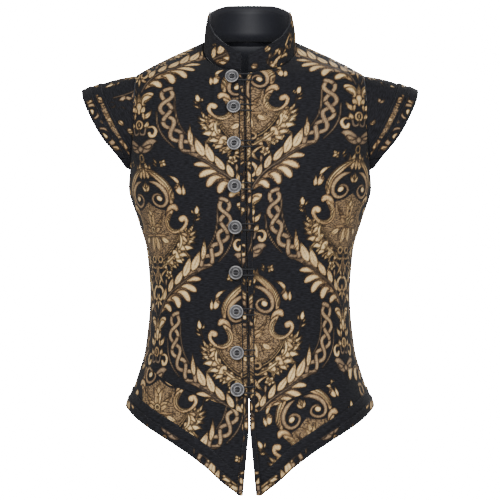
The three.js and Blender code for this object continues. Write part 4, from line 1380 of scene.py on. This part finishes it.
stitchPaths = []
above = stitchRun["above"]
for _, side in wearerSides:
    z = np.linspace(vestCut["frontHem"][1][1] + 6, neckFoot - 3, 420)
    for inset in (1.1, vestCut["edgeStrip"] - 1.1):
        angle = angleAcross(closureEdge(side, z) + inset, z)
        stitchPaths.append(toSide(offBody(angle, z, tierAt(0) + above), side))
    for name, layer, _ in reversed(trimTiers):
        edge = hemEdges(side, hemCut[name] - stitchRun["fromEdge"])["top"]
        angle, z = edge(np.linspace(0.012, 0.995, 260)[None])
        stitchPaths.append(toSide(offBody(angle[0], z[0], tierAt(layer) + above), side))
    for name, layer, _ in trimTiers:
        at = tierAt(layer, sleeveCut["gap"]) + above
        points, _, _ = sleeveGrid(sleeveCut["firstTurn"] + 0.004, sleeveCut[name] - 1.3, at, 240, 12, side)
        stitchPaths.append(points[0])
for name, layer, _ in reversed(trimTiers):
    angle = np.linspace(90.4, 269.6, 360)
    height = hemSideZ + hemCut[name] - stitchRun["fromEdge"] + 0 * angle
    row = offBody(np.minimum(angle, 360 - angle), height, tierAt(layer) + above)
    row[angle > 180, 0] *= -1
    stitchPaths.append(row)
inside, _, _ = collarGrid(-vestCut["wall"] - vestCut["layerGap"] - vestCut["liningWall"] - above,
                          collarCut["stitchBelowTop"], 304, 2)
stitchPaths.append(inside[-1][4:-4])
starts = np.cumsum([0] + [len(path) for path in stitchPaths])
steps = [np.stack([np.arange(a, b - 1), np.arange(a + 1, b)], 1) for a, b in zip(starts[:-1], starts[1:])]
rowMesh = bpy.data.meshes.new("stitchRows")
rowMesh.from_pydata((np.concatenate(stitchPaths) * 0.001).tolist(), np.concatenate(steps).tolist(), [])
rowObject = newObject("stitchRows", rowMesh)
sewing = rowObject.modifiers.new("topstitch", "NODES")
sewing.node_group = stitchTree(stitchThread)
for item in sewing.node_group.interface.items_tree:
    if item.in_out == "INPUT" and item.name in stitchRun:
        sewing[item.identifier] = stitchRun[item.name] * 0.001
sewn = finished(rowObject)
bpy.data.objects.remove(rowObject)
sewn.shade_smooth()
addPiece("topstitching", sewn, "cord", [], [])
print("topstitching sewn,", len(sewn.polygons), "faces")


def makeStudio():
    camera = newObject("viewCamera", bpy.data.cameras.new("viewCamera"))
    camera.location, camera.rotation_euler = studio["cameraAt"], (math.pi / 2, 0, 0)
    camera.data.sensor_width, camera.data.lens = 36, studio["lens"]
    bpy.context.scene.camera = camera
    for i, (place, size, power) in enumerate(studio["lamps"]):
        lamp = newObject(f"softBox{i}", bpy.data.lights.new(f"softBox{i}", "AREA"))
        lamp.data.size, lamp.data.energy, lamp.location = size, power, place
        x, y, z = np.array(studio["aim"]) - np.array(place)
        lamp.rotation_euler = (math.acos(-z / math.hypot(x, y, z)), 0, math.atan2(y, x) - math.pi / 2)
    turn = np.linspace(0, 2 * math.pi, studio["floorCorners"] + 1)[:-1]
    rim = np.stack([np.cos(turn), np.sin(turn), 0 * turn], -1) * studio["floorRadius"] * 1000
    rim[:, 2] = studio["floorAt"] * 1000
    mesh = makeMesh("floor", rim, [(np.arange(len(turn))[None], 0, False)])
    mesh.materials.append(makePlain("paleFloor", studio["floorColour"], studio["floorRough"]))
    newObject("floor", mesh)
    # The camera sees a white backdrop, and the vest is lit by a dimmer sky
    world = bpy.data.worlds.new("studioSky")
    bpy.context.scene.world = world
    world.use_nodes = True
    nodes, links = world.node_tree.nodes, world.node_tree.links
    sky, rays, level = nodes["Background"], nodes.new("ShaderNodeLightPath"), nodes.new("ShaderNodeMix")
    sky.inputs[0].default_value = (1, 1, 1, 1)
    level.inputs[2].default_value, level.inputs[3].default_value = studio["skyStrength"], studio["backdrop"]
    links.new(rays.outputs[0], level.inputs[0])
    links.new(level.outputs[0], sky.inputs[1])
makeStudio()
